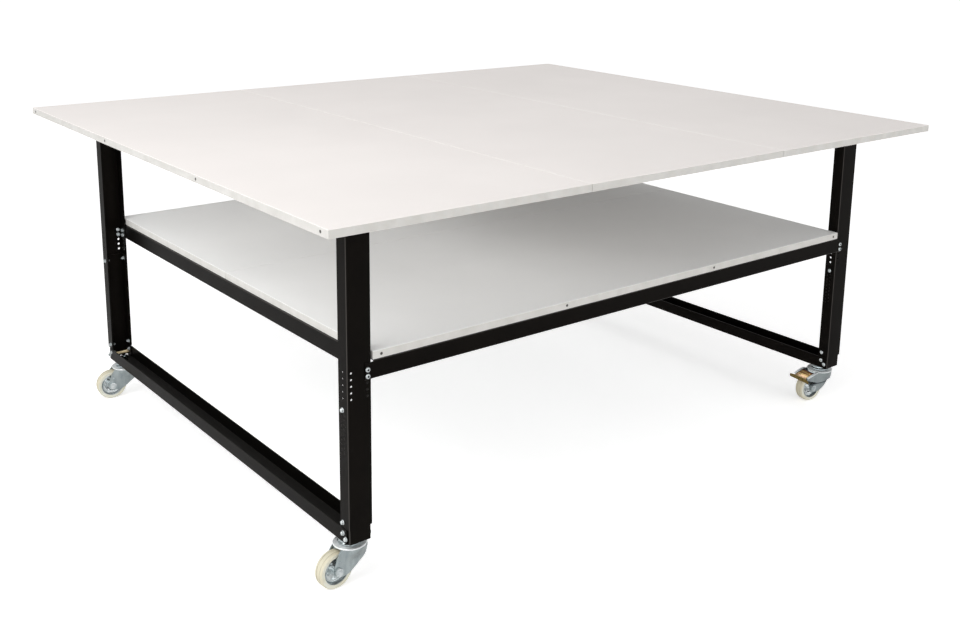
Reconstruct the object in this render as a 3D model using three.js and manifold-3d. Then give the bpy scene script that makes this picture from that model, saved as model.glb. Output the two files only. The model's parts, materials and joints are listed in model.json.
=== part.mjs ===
// Assembly table: a height-adjustable steel frame on four swivel casters, with a three-board
// worktop and a two-board shelf. Millimetres, +Z up, origin on the floor under the middle of the top.
// X runs along the long side, Y along the short side.
import * as THREE from 'three';
import { mergeVertices } from 'three/addons/utils/BufferGeometryUtils.js';
import Module from 'manifold-3d';

const wasm = await Module();
wasm.setup();

// Boards
const TOP_LENGTH = 1900;
const TOP_WIDTH = 1600;
const TOP_HEIGHT = 825;
const BOARD = 18;
const TOP_BOARD_COUNT = 3;
const SEAM = 0.8;
const SHELF_HEIGHT = 515;
const SHELF_END_GAP = 3;

// Legs: a C-channel outer leg, with a smaller C-channel that telescopes inside it
const STEEL = 2;
const BEND = 3;
const LEG_WIDTH = 57;
const LEG_DEPTH = 33;
const LEG_END_OVERHANG = 120;
const LEG_FRONT_OVERHANG = 143;
const OUTER_LEG_FOOT_GAP = 3;
const LOCK_MARGIN = 11;
const SLIDE_GAP = 0.5;
const STOP_GAP = 0.3;
const SPACER_DIAMETER = 8;
const SPACER_INSET = 15;
const SPACER_RISE = 12;

// Rails round the top and the shelf
const RAIL_HEIGHT = 40;
const RAIL_FLANGE = 25;
const RAIL_TAB = 16;
const RAIL_TAB_NOTCH = 4;
const FLANGE_CLEARANCE = 4;
const END_RAIL_SETBACK = 10;
const BEAM_WIDTH = 50;

// Bottom rails: the leg's section laid on its web, which ties the front and back inner legs
const BASE_SETBACK = 8;

// Holes
const BOLT_HOLE = 6.6;
const HOLE_SIDES = 6;
const SHELF_HOLE_COUNT = 5;
const SHELF_BOLT_COUNT = 2;
const SHELF_HOLE_PITCH = 14;
const SHELF_HOLE_DROP = 18;
const WEB_HOLE_INSET = 10;
const FLANGE_HOLE_INSET = 18;
const LOCK_HOLE_DROP = 25;
const STEP_HOLE = 5.2;
const STEP_HOLE_SIDES = 4;
const STEP_COUNT = 9;
const STEP_PITCH = 10;
const STEP_COLUMN_GAP = 9.5;

// Casters
const WHEEL_DIAMETER = 80;
const WHEEL_SIDES = 20;
const TYRE_WIDTH = 25;
const TYRE_THICKNESS = 6.5;
const TYRE_SHOULDER = 2.5;
const TYRE_SHOULDER_WIDTH = 4;
const TYRE_BEAD = 2;
const TYRE_BEAD_WIDTH = 1;
const RIM_LIP = 4;
const RIM_WEB = 8;
const RIM_BED_INSET = 1;
const TRAIL = 41;
const STEM_SETBACK = 12;
const STEM_DIAMETER = 12;
const STEM_GAP = 0.4;
const SWIVEL_GAP = 0.3;
const CROWN_RADIUS = 36;
const CROWN_THICKNESS = 3.5;
const CROWN_CHAMFER = 1.5;
const WHEEL_CLEARANCE = 0.7;
const FORK_SHEET = 2.5;
const FORK_INSET = 1;
const FORK_FLAT_RISE = 10;
const TYRE_SIDE_GAP = 2.5;
const HEAD_RADIUS = 26;
const HEAD_HEIGHT = 13.7;
const HEAD_BEAD = 3;
const HEAD_NECK_STEP = 4;
const NUT_WIDTH = 19;
const NUT_HEIGHT = 10;
const WASHER_RADIUS = 12;
const WASHER_HEIGHT = 2;
const STEM_HEAD_HEIGHT = 4.5;
const THREAD_END = 2;
const AXLE_DIAMETER = 10;
const AXLE_GAP = 0.3;
const AXLE_NUT_WIDTH = 17;
const AXLE_NUT_HEIGHT = 5;
const HUB_RADIUS = 11;
const HUB_FLARE = 2;
const HUB_GAP = 0.5;
const CHEEK_STEP = 3.5;
const CHEEK_RISE = 16;
const CHEEK_REAR = 30;
const CHEEK_EYE_WALL = 1;
const LEDGE_HEIGHT = 3;
const LEDGE_OVERLAP = 1;
const PEDAL_SHEET = 2.5;
const PEDAL_SLOPE = 17;
const PEDAL_LENGTH = 39;
const PEDAL_SETBACK = 6.5;
const PEDAL_BAR_WIDTH = 73;
const PEDAL_BAR_HEIGHT = 9;
const PEDAL_GAP = 0.5;
const PIN_DIAMETER = 4;
const PIN_CLEARANCE = 1;
const KNUCKLE_DIAMETER = 8;
const KNUCKLE_LENGTH = 6;

// Which way each caster trails at rest: degrees turned from -X, and whether it has a brake
const CASTERS = [
  { corner: 'front_left', sx: -1, sy: -1, turn: 4, brake: false },
  { corner: 'back_left', sx: -1, sy: 1, turn: -6, brake: false },
  { corner: 'front_right', sx: 1, sy: -1, turn: -8, brake: true },
  { corner: 'back_right', sx: 1, sy: 1, turn: -3, brake: true },
];

// Heights and places that follow from the sizes above
const topUnder = TOP_HEIGHT - BOARD;
const shelfUnder = SHELF_HEIGHT - BOARD;
const legX = TOP_LENGTH / 2 - LEG_END_OVERHANG - LEG_WIDTH / 2;
const legFaceY = TOP_WIDTH / 2 - LEG_FRONT_OVERHANG;
const legInnerX = legX - LEG_WIDTH / 2;
const wheelRadius = WHEEL_DIAMETER / 2;
const crownUnder = WHEEL_DIAMETER + WHEEL_CLEARANCE + STEM_HEAD_HEIGHT + SWIVEL_GAP;
const crownTop = crownUnder + CROWN_THICKNESS;
const baseUnder = crownTop + SWIVEL_GAP + HEAD_HEIGHT;
const baseFloor = baseUnder + STEEL;
const outerLegFoot = baseUnder + LEG_DEPTH + OUTER_LEG_FOOT_GAP;
const innerLegFaceY = legFaceY - STEEL - SLIDE_GAP;
const innerLegWidth = LEG_WIDTH - 2 * (STEEL + SLIDE_GAP);
const innerLegDepth = LEG_DEPTH - STEEL - SLIDE_GAP;
const lastShelfHole = shelfUnder - SHELF_HOLE_DROP - (SHELF_HOLE_COUNT - 1) * SHELF_HOLE_PITCH;
const lockHeight = lastShelfHole - LOCK_HOLE_DROP;
const stemY = legFaceY - LEG_DEPTH - STEM_SETBACK;
const armInner = TYRE_WIDTH / 2 + TYRE_SIDE_GAP;
const armOuter = armInner + FORK_SHEET;

// Materials
const material = (color, roughness, metalness) =>
  new THREE.MeshStandardMaterial({ color, roughness, metalness });
const whiteBoard = () => material(0xefede8, 0.42, 0);
const blackSteel = () => material(0x1b1b1b, 0.45, 0.2);
const zinc = () => material(0xb4b8ba, 0.35, 0.9);
const yellowZinc = () => material(0xc9a24a, 0.32, 0.9);
const creamTyre = () => material(0xe4d9b8, 0.55, 0);

// Turns a closed geometry into a solid that can be cut and joined
function solidOf(geometry) {
  const bare = geometry.clone();
  bare.deleteAttribute('normal');
  bare.deleteAttribute('uv');
  const merged = mergeVertices(bare, 1e-4);
  return new wasm.Manifold(new wasm.Mesh({
    numProp: 3,
    vertProperties: new Float32Array(merged.attributes.position.array),
    triVerts: new Uint32Array(merged.index.array),
  }));
}

// Turns a solid back into a geometry
function geometryOf(solid) {
  const mesh = solid.getMesh();
  const geometry = new THREE.BufferGeometry();
  geometry.setAttribute('position', new THREE.BufferAttribute(mesh.vertProperties, 3));
  geometry.setIndex(new THREE.BufferAttribute(mesh.triVerts, 1));
  geometry.computeVertexNormals();
  return geometry;
}

function join(pieces) {
  const [first, ...rest] = pieces.map(solidOf);
  return geometryOf(rest.reduce((sum, piece) => sum.add(piece), first));
}

function cut(body, cutters) {
  return geometryOf(cutters.map(solidOf).reduce((left, tool) => left.subtract(tool), solidOf(body)));
}

// A box given by its low and high corners
function block(low, high) {
  const size = high.map((value, i) => value - low[i]);
  const middle = high.map((value, i) => (value + low[i]) / 2);
  return new THREE.BoxGeometry(...size).translate(...middle);
}

// A round bar along X, Y or Z, centred on a point
function bar(axis, diameter, length, [x, y, z], sides = 12) {
  const geometry = new THREE.CylinderGeometry(diameter / 2, diameter / 2, length, sides);
  if (axis === 'x') geometry.rotateZ(Math.PI / 2);
  if (axis === 'z') geometry.rotateX(Math.PI / 2);
  return geometry.translate(x, y, z);
}

// A hexagon bar along Y or Z, given across its flats
function hexBar(axis, flats, length, place) {
  return bar(axis, flats / Math.cos(Math.PI / 6), length, place, 6);
}

// A revolved profile of [radius, height] points about Z
function turned(profile, sides) {
  const points = [...profile, profile[0]].map(([r, z]) => new THREE.Vector2(r, z));
  return new THREE.LatheGeometry(points, sides).rotateX(Math.PI / 2);
}

// The outline of a bent C-channel: web along X at y = 0, flanges towards +Y, bends round outside
function channelShape(width, depth, sheet, bend) {
  const half = width / 2;
  const shape = new THREE.Shape();
  shape.moveTo(-half, depth);
  shape.lineTo(-half, bend);
  shape.absarc(-half + bend, bend, bend, Math.PI, 1.5 * Math.PI, false);
  shape.lineTo(half - bend, 0);
  shape.absarc(half - bend, bend, bend, -0.5 * Math.PI, 0, false);
  shape.lineTo(half, depth);
  shape.lineTo(half - sheet, depth);
  shape.lineTo(half - sheet, sheet);
  shape.lineTo(-half + sheet, sheet);
  shape.lineTo(-half + sheet, depth);
  shape.closePath();
  return shape;
}

function channel(width, depth, length) {
  const shape = channelShape(width, depth, STEEL, BEND);
  return new THREE.ExtrudeGeometry(shape, { depth: length, bevelEnabled: false, curveSegments: 2 });
}

// Round holes through a leg's flanges, at [inset from the web's face, height] places
function flangeHoles(sides, places, diameter, facets) {
  return places.flatMap(([y, z]) => sides.map((side) =>
    bar('x', diameter, 3 * BEND, [side * LEG_WIDTH / 2, y, z], facets)));
}

const shelfHoleHeights = Array.from(
  { length: SHELF_HOLE_COUNT },
  (_, i) => shelfUnder - SHELF_HOLE_DROP - i * SHELF_HOLE_PITCH,
);
// The two staggered columns of small holes that set the height, below the lock hole
const stepPlaces = Array.from({ length: 2 * STEP_COUNT }, (_, i) => [
  FLANGE_HOLE_INSET + (i % 2 ? 0.5 : -0.5) * STEP_COLUMN_GAP,
  lockHeight - STEP_PITCH - Math.floor(i / 2) * STEP_PITCH - (i % 2) * STEP_PITCH / 2,
]);

// Outer leg, in its own frame: the web's outer face is y = 0 and the middle is x = 0.
// inward is the side, +1 or -1, that faces along the rails: bolts fill its upper holes there.
function outerLeg(inward) {
  const body = channel(LEG_WIDTH, LEG_DEPTH, topUnder - outerLegFoot).translate(0, 0, outerLegFoot);
  const webX = LEG_WIDTH / 2 - WEB_HOLE_INSET;
  const sideHoles = [-1, 1].flatMap((side) => {
    const open = shelfHoleHeights.slice(side === inward ? SHELF_BOLT_COUNT : 0);
    const webHoles = open.map((z) => bar('y', BOLT_HOLE, 3 * BEND, [side * webX, 0, z], HOLE_SIDES));
    const places = open.map((z) => [FLANGE_HOLE_INSET, z]);
    return [...webHoles, ...flangeHoles([side], places, BOLT_HOLE, HOLE_SIDES)];
  });
  return cut(body, [
    ...sideHoles,
    ...flangeHoles([-1, 1], [[FLANGE_HOLE_INSET, lockHeight]], BOLT_HOLE, HOLE_SIDES),
    ...flangeHoles([-1, 1], stepPlaces, STEP_HOLE, STEP_HOLE_SIDES),
  ]);
}

// Inner leg, in the same frame as the outer leg
function innerLeg() {
  const faceY = STEEL + SLIDE_GAP;
  const height = lockHeight + LOCK_MARGIN - baseFloor;
  return channel(innerLegWidth, innerLegDepth, height).translate(0, faceY, baseFloor);
}

// Sleeve across the foot of the inner leg, round its lower bolt
function footSpacer() {
  const length = innerLegWidth - 2 * STEEL;
  return bar('x', SPACER_DIAMETER, length, [0, SPACER_INSET, baseFloor + SPACER_RISE], 10);
}

// Bottom rail along Y, in a frame centred on the rail: a U open upwards
function bottomRail() {
  const halfLength = innerLegFaceY - BASE_SETBACK;
  const body = channel(LEG_WIDTH, LEG_DEPTH, 2 * halfLength)
    .translate(0, 0, -halfLength)
    .rotateX(Math.PI / 2)
    .translate(0, 0, baseUnder);
  const stemHoles = [-1, 1].map((end) =>
    bar('z', STEM_DIAMETER + 2 * STEM_GAP, 3 * BEND, [0, end * stemY, baseUnder]));
  return cut(body, stemHoles);
}

// A C-channel rail along X, in its own frame: web's outer face at y = 0, flanges towards +Y, top at z = 0.
// The web runs on past the flanges as bolt tabs at both ends.
function frameRail(halfWeb, halfFlange) {
  const body = channel(RAIL_HEIGHT, RAIL_FLANGE, 2 * halfWeb)
    .translate(0, 0, -halfWeb)
    .rotateY(Math.PI / 2)
    .translate(0, 0, -RAIL_HEIGHT / 2);
  const cutters = [-1, 1].flatMap((end) => {
    const flangeEnd = [end * halfFlange, end * (halfWeb + BEND)].sort((a, b) => a - b);
    const behind = block(
      [flangeEnd[0], STEEL, -RAIL_HEIGHT - BEND],
      [flangeEnd[1], RAIL_FLANGE + BEND, BEND],
    );
    const notch = block([flangeEnd[0], -BEND, -RAIL_TAB_NOTCH], [flangeEnd[1], RAIL_FLANGE, BEND]);
    return [behind, notch];
  });
  return cut(body, cutters);
}

const longRail = () => frameRail(legInnerX + RAIL_TAB, legInnerX - FLANGE_CLEARANCE);
const endRail = () => frameRail(legFaceY - END_RAIL_SETBACK, legFaceY - LEG_DEPTH - FLANGE_CLEARANCE);

// Middle beam along X: a U open downwards, notched at its ends to pass under the end rails' flanges
function middleBeam() {
  const halfLength = legInnerX - BEND - STOP_GAP;
  const body = channel(BEAM_WIDTH, RAIL_HEIGHT - STEEL, 2 * halfLength)
    .translate(0, 0, -halfLength)
    .rotateX(-Math.PI / 2)
    .rotateZ(Math.PI / 2);
  const notches = [-1, 1].map((end) => {
    const reach = [end * (legInnerX - RAIL_FLANGE - STOP_GAP), end * (halfLength + 1)].sort((a, b) => a - b);
    return block([reach[0], -BEAM_WIDTH, -STEEL - BEND], [reach[1], BEAM_WIDTH, BEND]);
  });
  return cut(body, notches);
}

// Caster pieces, in a frame whose origin is on the floor under the stem, trailing towards -X

// Stem bolt with its hexagon head under the fork's crown, and its washer and nut on the rail's floor
function stemBolt() {
  const headTop = crownUnder - SWIVEL_GAP;
  const headBottom = headTop - STEM_HEAD_HEIGHT;
  const washerTop = baseFloor + WASHER_HEIGHT;
  const nutTop = washerTop + NUT_HEIGHT;
  const tip = nutTop + THREAD_END;
  return join([
    bar('z', STEM_DIAMETER, tip - headBottom, [0, 0, (tip + headBottom) / 2], 8),
    hexBar('z', NUT_WIDTH, STEM_HEAD_HEIGHT, [0, 0, (headTop + headBottom) / 2]),
    bar('z', 2 * WASHER_RADIUS, WASHER_HEIGHT, [0, 0, baseFloor + WASHER_HEIGHT / 2]),
    hexBar('z', NUT_WIDTH, NUT_HEIGHT, [0, 0, washerTop + NUT_HEIGHT / 2]),
  ]);
}

// Fixed upper race of the swivel, clamped under the rail
function swivelHead() {
  const bore = STEM_DIAMETER / 2 + STEM_GAP;
  const low = crownTop + SWIVEL_GAP;
  const neck = HEAD_RADIUS - HEAD_NECK_STEP;
  return turned([
    [bore, low],
    [HEAD_RADIUS, low],
    [HEAD_RADIUS, low + HEAD_BEAD],
    [neck, low + 2 * HEAD_BEAD],
    [neck, baseUnder],
    [bore, baseUnder],
  ], 14);
}

// Pressed sheet between two edge curves (points of [distance behind the stem, height]).
// Up to a height it is flat beside the wheel, and from there it bulges out to the crown's circle.
function pressedSheet({ side, inner, flatHeight, edges, columns, rows }) {
  const [firstEdge, lastEdge] = edges.map((points) =>
    new THREE.SplineCurve(points.map(([u, z]) => new THREE.Vector2(u, z))));
  const geometry = new THREE.BoxGeometry(1, 1, 1, columns, 1, rows);
  const place = geometry.attributes.position;
  for (let i = 0; i < place.count; i += 1) {
    const along = 0.5 - place.getZ(i);
    const across = place.getX(i) + 0.5;
    const point = firstEdge.getPoint(along).lerp(lastEdge.getPoint(along), across);
    const rise = THREE.MathUtils.smoothstep(point.y, flatHeight, crownTop);
    const circle = Math.sqrt(Math.max(0, (CROWN_RADIUS - FORK_INSET) ** 2 - point.x ** 2)) - FORK_SHEET;
    const bulge = rise * Math.max(0, circle - inner);
    const layer = (place.getY(i) + 0.5) * FORK_SHEET;
    place.setXYZ(i, -point.x, side * (inner + bulge + layer), point.y);
  }
  return volumeOf(geometry) < 0 ? flipped(geometry) : geometry;
}

// Signed volume of a closed geometry: below nought if its faces look inwards
function volumeOf(geometry) {
  const corner = [0, 1, 2].map(() => new THREE.Vector3());
  const index = geometry.index.array;
  let volume = 0;
  for (let i = 0; i < index.length; i += 3) {
    corner.forEach((point, k) => point.fromBufferAttribute(geometry.attributes.position, index[i + k]));
    volume += corner[0].dot(corner[1].cross(corner[2])) / 6;
  }
  return volume;
}

// Turns a mirrored geometry's faces outwards again
function flipped(geometry) {
  const index = geometry.index.array;
  for (let i = 0; i < index.length; i += 3) {
    [index[i], index[i + 1]] = [index[i + 1], index[i]];
  }
  return geometry;
}

// Edge curves of a fork arm: distance behind the stem, and height
const ARM_FRONT = [
  [-CROWN_RADIUS + 5, crownTop - 1],
  [-CROWN_RADIUS + 3, crownTop - 13],
  [-CROWN_RADIUS + 11, wheelRadius + 17],
  [TRAIL - 48, wheelRadius + 2],
  [TRAIL - 29, wheelRadius - 11],
  [TRAIL - 15, wheelRadius - 14],
];
const ARM_REAR = [
  [CROWN_RADIUS - 5, crownTop - 1],
  [TRAIL - 2, crownTop - 11],
  [TRAIL + 5, wheelRadius + 26],
  [TRAIL + 9, wheelRadius + 12],
  [TRAIL + 11, wheelRadius - 2],
  [TRAIL + 5, wheelRadius - 13],
];

function crown() {
  const bore = STEM_DIAMETER / 2 + STEM_GAP;
  const low = crownUnder;
  return turned([
    [bore, low],
    [CROWN_RADIUS, low],
    [CROWN_RADIUS, crownTop - CROWN_CHAMFER],
    [CROWN_RADIUS - CROWN_CHAMFER, crownTop],
    [bore, crownTop],
  ], 18);
}

// The pedal's top face, as a height over the distance behind the stem
const pedalPivot = {
  u: CROWN_RADIUS + PEDAL_SETBACK,
  z: WHEEL_DIAMETER + PIN_CLEARANCE + PIN_DIAMETER / 2,
};
const pedalDrop = Math.tan(THREE.MathUtils.degToRad(PEDAL_SLOPE));
const cheekFoot = wheelRadius + CHEEK_RISE;
const cheekInner = armOuter + CHEEK_STEP;
const cheekOuter = cheekInner + FORK_SHEET;

// Edge curves of the braked fork: a skirt from the crown back to the foot bar, and the arm below it
const pinEye = KNUCKLE_DIAMETER / 2 + CHEEK_EYE_WALL;
const skirtRear = pedalPivot.u + CHEEK_REAR;
const skirtRearTop = pedalPivot.z + pinEye - CHEEK_REAR * pedalDrop;
const SKIRT_TOP = [
  [-CROWN_RADIUS + 11, crownTop - 1],
  [0, crownTop - 1],
  [CROWN_RADIUS - 9, crownTop - 1],
  [pedalPivot.u, pedalPivot.z + pinEye],
  [skirtRear, skirtRearTop],
];
const SKIRT_FOOT = [
  [-CROWN_RADIUS + 15, cheekFoot + 6],
  [0, cheekFoot],
  [CROWN_RADIUS - 9, cheekFoot],
  [pedalPivot.u + 2, cheekFoot + 5],
  [skirtRear, skirtRearTop - PEDAL_BAR_HEIGHT],
];
const LOWER_ARM_FRONT = [
  [-CROWN_RADIUS + 18, cheekFoot + LEDGE_HEIGHT + 1],
  [TRAIL - 48, wheelRadius + 2],
  [TRAIL - 29, wheelRadius - 11],
  [TRAIL - 15, wheelRadius - 14],
];
const LOWER_ARM_REAR = [
  [CROWN_RADIUS, cheekFoot + LEDGE_HEIGHT + 1],
  [TRAIL + 9, wheelRadius + 12],
  [TRAIL + 11, wheelRadius - 2],
  [TRAIL + 5, wheelRadius - 13],
];

// One side of the braked fork: the skirt that carries the pedal's pin, stepped in by a ledge to the arm
function brakeArm(side) {
  const skirtEdges = [SKIRT_TOP, SKIRT_FOOT];
  const armEdges = [LOWER_ARM_FRONT, LOWER_ARM_REAR];
  const skirt = pressedSheet({
    side, inner: cheekInner, flatHeight: cheekFoot, edges: skirtEdges, columns: 3, rows: 8,
  });
  const arm = pressedSheet({
    side, inner: armInner, flatHeight: crownUnder, edges: armEdges, columns: 3, rows: 3,
  });
  const reach = [armInner, cheekInner].map((y) => side * (y + LEDGE_OVERLAP)).sort((a, b) => a - b);
  const ledge = block(
    [-CROWN_RADIUS + LEDGE_OVERLAP, reach[0], cheekFoot + LEDGE_OVERLAP],
    [CROWN_RADIUS / 3, reach[1], cheekFoot + LEDGE_OVERLAP + LEDGE_HEIGHT],
  );
  return [skirt, arm, ledge];
}

// One side of the plain fork
function plainArm(side) {
  const edges = [ARM_FRONT, ARM_REAR];
  const flatHeight = wheelRadius + FORK_FLAT_RISE;
  return pressedSheet({ side, inner: armInner, flatHeight, edges, columns: 4, rows: 4 });
}

function fork(brake) {
  const sides = [-1, 1];
  const pieces = [crown(), ...sides.flatMap(brake ? brakeArm : plainArm)];
  const cutters = [bar('y', AXLE_DIAMETER + 2 * AXLE_GAP, 4 * armOuter, [-TRAIL, 0, wheelRadius], 10)];
  if (brake) {
    const pinHole = PIN_DIAMETER + 2 * AXLE_GAP;
    cutters.push(bar('y', pinHole, 4 * cheekOuter, [-pedalPivot.u, 0, pedalPivot.z], 8));
  }
  return cut(join(pieces), cutters);
}

// Axle bolt with its head and nut outside the arms
function axle() {
  const seat = armOuter + SWIVEL_GAP;
  const half = seat + AXLE_NUT_HEIGHT + THREAD_END;
  const nutMiddle = seat + AXLE_NUT_HEIGHT / 2;
  return join([
    bar('y', AXLE_DIAMETER, 2 * half, [-TRAIL, 0, wheelRadius], 8),
    hexBar('y', AXLE_NUT_WIDTH, AXLE_NUT_HEIGHT, [-TRAIL, -nutMiddle, wheelRadius]),
    hexBar('y', AXLE_NUT_WIDTH, AXLE_NUT_HEIGHT, [-TRAIL, nutMiddle, wheelRadius]),
  ]);
}

const rimRadius = wheelRadius - TYRE_THICKNESS;
const toAxle = (geometry) => geometry.rotateX(Math.PI / 2).translate(-TRAIL, 0, wheelRadius);

// Pressed wheel disc with its hub and the flanged bed under the tyre
function rim() {
  const bore = AXLE_DIAMETER / 2 + AXLE_GAP;
  const hubHalf = armInner - HUB_GAP;
  const bedHalf = TYRE_WIDTH / 2 - RIM_BED_INSET;
  const disc = turned([
    [bore, -hubHalf],
    [HUB_RADIUS, -hubHalf],
    [HUB_RADIUS + HUB_FLARE, -RIM_WEB / 2],
    [rimRadius - RIM_LIP, -bedHalf],
    [rimRadius, -bedHalf],
    [rimRadius, bedHalf],
    [rimRadius - RIM_LIP, bedHalf],
    [HUB_RADIUS + HUB_FLARE, RIM_WEB / 2],
    [HUB_RADIUS, hubHalf],
    [bore, hubHalf],
  ], WHEEL_SIDES);
  return toAxle(disc);
}

// Solid tyre
function tyre() {
  const half = TYRE_WIDTH / 2;
  return toAxle(turned([
    [rimRadius + SWIVEL_GAP, -half + TYRE_BEAD_WIDTH],
    [rimRadius + TYRE_BEAD, -half],
    [wheelRadius - TYRE_SHOULDER, -half],
    [wheelRadius, -half + TYRE_SHOULDER_WIDTH],
    [wheelRadius, half - TYRE_SHOULDER_WIDTH],
    [wheelRadius - TYRE_SHOULDER, half],
    [rimRadius + TYRE_BEAD, half],
    [rimRadius + SWIVEL_GAP, half - TYRE_BEAD_WIDTH],
  ], WHEEL_SIDES));
}

// Brake pedal: a sloping plate with two knuckles on the pin and a wide foot bar at the rear
function brakePedal() {
  const half = cheekInner - PEDAL_GAP;
  const top = KNUCKLE_DIAMETER / 2;
  const knuckles = [-1, 1].map((side) =>
    bar('y', KNUCKLE_DIAMETER, KNUCKLE_LENGTH, [0, side * (half - KNUCKLE_LENGTH / 2), 0], 10));
  const plate = block([-PEDAL_LENGTH, -half, top - PEDAL_SHEET], [0, half, top]);
  const footBar = block(
    [-PEDAL_LENGTH - PEDAL_SHEET, -PEDAL_BAR_WIDTH / 2, top - PEDAL_BAR_HEIGHT],
    [-PEDAL_LENGTH, PEDAL_BAR_WIDTH / 2, top],
  );
  const body = cut(
    join([plate, footBar, ...knuckles]),
    [bar('y', PIN_DIAMETER + 2 * AXLE_GAP, 4 * half, [0, 0, 0], 8)],
  );
  return body
    .rotateY(-THREE.MathUtils.degToRad(PEDAL_SLOPE))
    .translate(-pedalPivot.u, 0, pedalPivot.z);
}

// Pin that the pedal turns on, across the cheeks
function pedalPin() {
  return bar('y', PIN_DIAMETER, 2 * cheekOuter + THREAD_END, [-pedalPivot.u, 0, pedalPivot.z], 8);
}

// The scene: one named mesh for each piece
const table = new THREE.Group();

function addMesh(parent, name, geometry, finish) {
  const mesh = new THREE.Mesh(geometry, finish);
  mesh.name = name;
  parent.add(mesh);
  return mesh;
}

function addBoards() {
  const width = (TOP_LENGTH - (TOP_BOARD_COUNT - 1) * SEAM) / TOP_BOARD_COUNT;
  ['left', 'middle', 'right'].forEach((side, i) => {
    const low = -TOP_LENGTH / 2 + i * (width + SEAM);
    const geometry = block([low, -TOP_WIDTH / 2, topUnder], [low + width, TOP_WIDTH / 2, TOP_HEIGHT]);
    addMesh(table, `worktop_board_${side}`, geometry, whiteBoard());
  });
  const halfLength = legInnerX - SHELF_END_GAP;
  const halfWidth = legFaceY + STEEL;
  ['front', 'back'].forEach((side, i) => {
    const near = i ? SEAM / 2 : -halfWidth;
    const far = i ? halfWidth : -SEAM / 2;
    const geometry = block([-halfLength, near, shelfUnder], [halfLength, far, SHELF_HEIGHT]);
    addMesh(table, `shelf_board_${side}`, geometry, whiteBoard());
  });
}

function addRails() {
  [['top', topUnder], ['shelf', shelfUnder]].forEach(([level, height]) => {
    [['front', -1], ['back', 1]].forEach(([side, sign]) => {
      const place = new THREE.Group();
      place.position.set(0, sign * (legFaceY + STEEL), height);
      place.rotation.z = sign < 0 ? 0 : Math.PI;
      addMesh(place, `${level}_rail_${side}`, longRail(), blackSteel());
      table.add(place);
    });
    [['left', -1], ['right', 1]].forEach(([side, sign]) => {
      const place = new THREE.Group();
      place.position.set(sign * legInnerX, 0, height);
      place.rotation.z = sign < 0 ? -Math.PI / 2 : Math.PI / 2;
      addMesh(place, `${level}_rail_${side}`, endRail(), blackSteel());
      table.add(place);
    });
    const beam = addMesh(table, `${level}_middle_beam`, middleBeam(), blackSteel());
    beam.position.z = height;
  });
  [['left', -1], ['right', 1]].forEach(([side, sign]) => {
    const rail = addMesh(table, `bottom_rail_${side}`, bottomRail(), blackSteel());
    rail.position.x = sign * legX;
  });
}

function addLegs() {
  CASTERS.forEach(({ corner, sx, sy }) => {
    const place = new THREE.Group();
    place.position.set(sx * legX, sy * legFaceY, 0);
    place.rotation.z = sy < 0 ? 0 : Math.PI;
    addMesh(place, `outer_leg_${corner}`, outerLeg(sx * sy), blackSteel());
    addMesh(place, `inner_leg_${corner}`, innerLeg(), blackSteel());
    addMesh(place, `foot_spacer_${corner}`, footSpacer(), yellowZinc());
    table.add(place);
  });
}

function addCasters() {
  CASTERS.forEach(({ corner, sx, sy, turn, brake }) => {
    const place = new THREE.Group();
    place.position.set(sx * legX, sy * stemY, 0);
    addMesh(place, `stem_bolt_${corner}`, stemBolt(), zinc());
    addMesh(place, `swivel_head_${corner}`, swivelHead(), zinc());
    const swivel = new THREE.Group();
    swivel.rotation.z = THREE.MathUtils.degToRad(turn);
    addMesh(swivel, `fork_${corner}`, fork(brake), zinc());
    addMesh(swivel, `axle_${corner}`, axle(), zinc());
    addMesh(swivel, `wheel_rim_${corner}`, rim(), zinc());
    addMesh(swivel, `tyre_${corner}`, tyre(), creamTyre());
    if (brake) {
      addMesh(swivel, `brake_pedal_${corner}`, brakePedal(), yellowZinc());
      addMesh(swivel, `pedal_pin_${corner}`, pedalPin(), zinc());
    }
    place.add(swivel);
    table.add(place);
  });
}

addBoards();
addRails();
addLegs();
addCasters();

export default table;
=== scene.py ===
"""Looks of the assembly table: boards, steel frame, fasteners, casters and a plain studio."""

import json
import math

import bpy
import numpy as np
from bpy.props import FloatProperty, FloatVectorProperty, IntProperty, PointerProperty
from bpy.types import Operator, Panel, PropertyGroup
from mathutils import Matrix, Vector


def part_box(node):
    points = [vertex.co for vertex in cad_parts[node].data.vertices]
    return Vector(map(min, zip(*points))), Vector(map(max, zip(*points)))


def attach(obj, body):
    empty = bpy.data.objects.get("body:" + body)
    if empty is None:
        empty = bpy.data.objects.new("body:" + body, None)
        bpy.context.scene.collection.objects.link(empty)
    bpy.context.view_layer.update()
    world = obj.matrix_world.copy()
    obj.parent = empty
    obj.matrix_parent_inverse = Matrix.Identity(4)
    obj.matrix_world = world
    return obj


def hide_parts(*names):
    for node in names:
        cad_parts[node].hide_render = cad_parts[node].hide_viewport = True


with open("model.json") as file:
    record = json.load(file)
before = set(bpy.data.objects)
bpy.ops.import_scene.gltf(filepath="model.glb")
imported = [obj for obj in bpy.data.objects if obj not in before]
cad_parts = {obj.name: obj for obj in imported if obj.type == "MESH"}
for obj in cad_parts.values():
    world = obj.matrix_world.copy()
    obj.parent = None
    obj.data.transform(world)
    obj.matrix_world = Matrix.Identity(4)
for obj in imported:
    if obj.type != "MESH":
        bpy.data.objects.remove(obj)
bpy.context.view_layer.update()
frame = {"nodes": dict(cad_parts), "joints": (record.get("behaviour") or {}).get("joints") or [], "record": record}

bl_info = {
    "name": "Assembly Table Looks",
    "version": (1, 0, 0),
    "blender": (4, 5, 0),
    "location": "View3D > Sidebar > Table",
    "description": "Finishes, fasteners and studio for a height-adjustable assembly table",
    "category": "Object",
}

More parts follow.
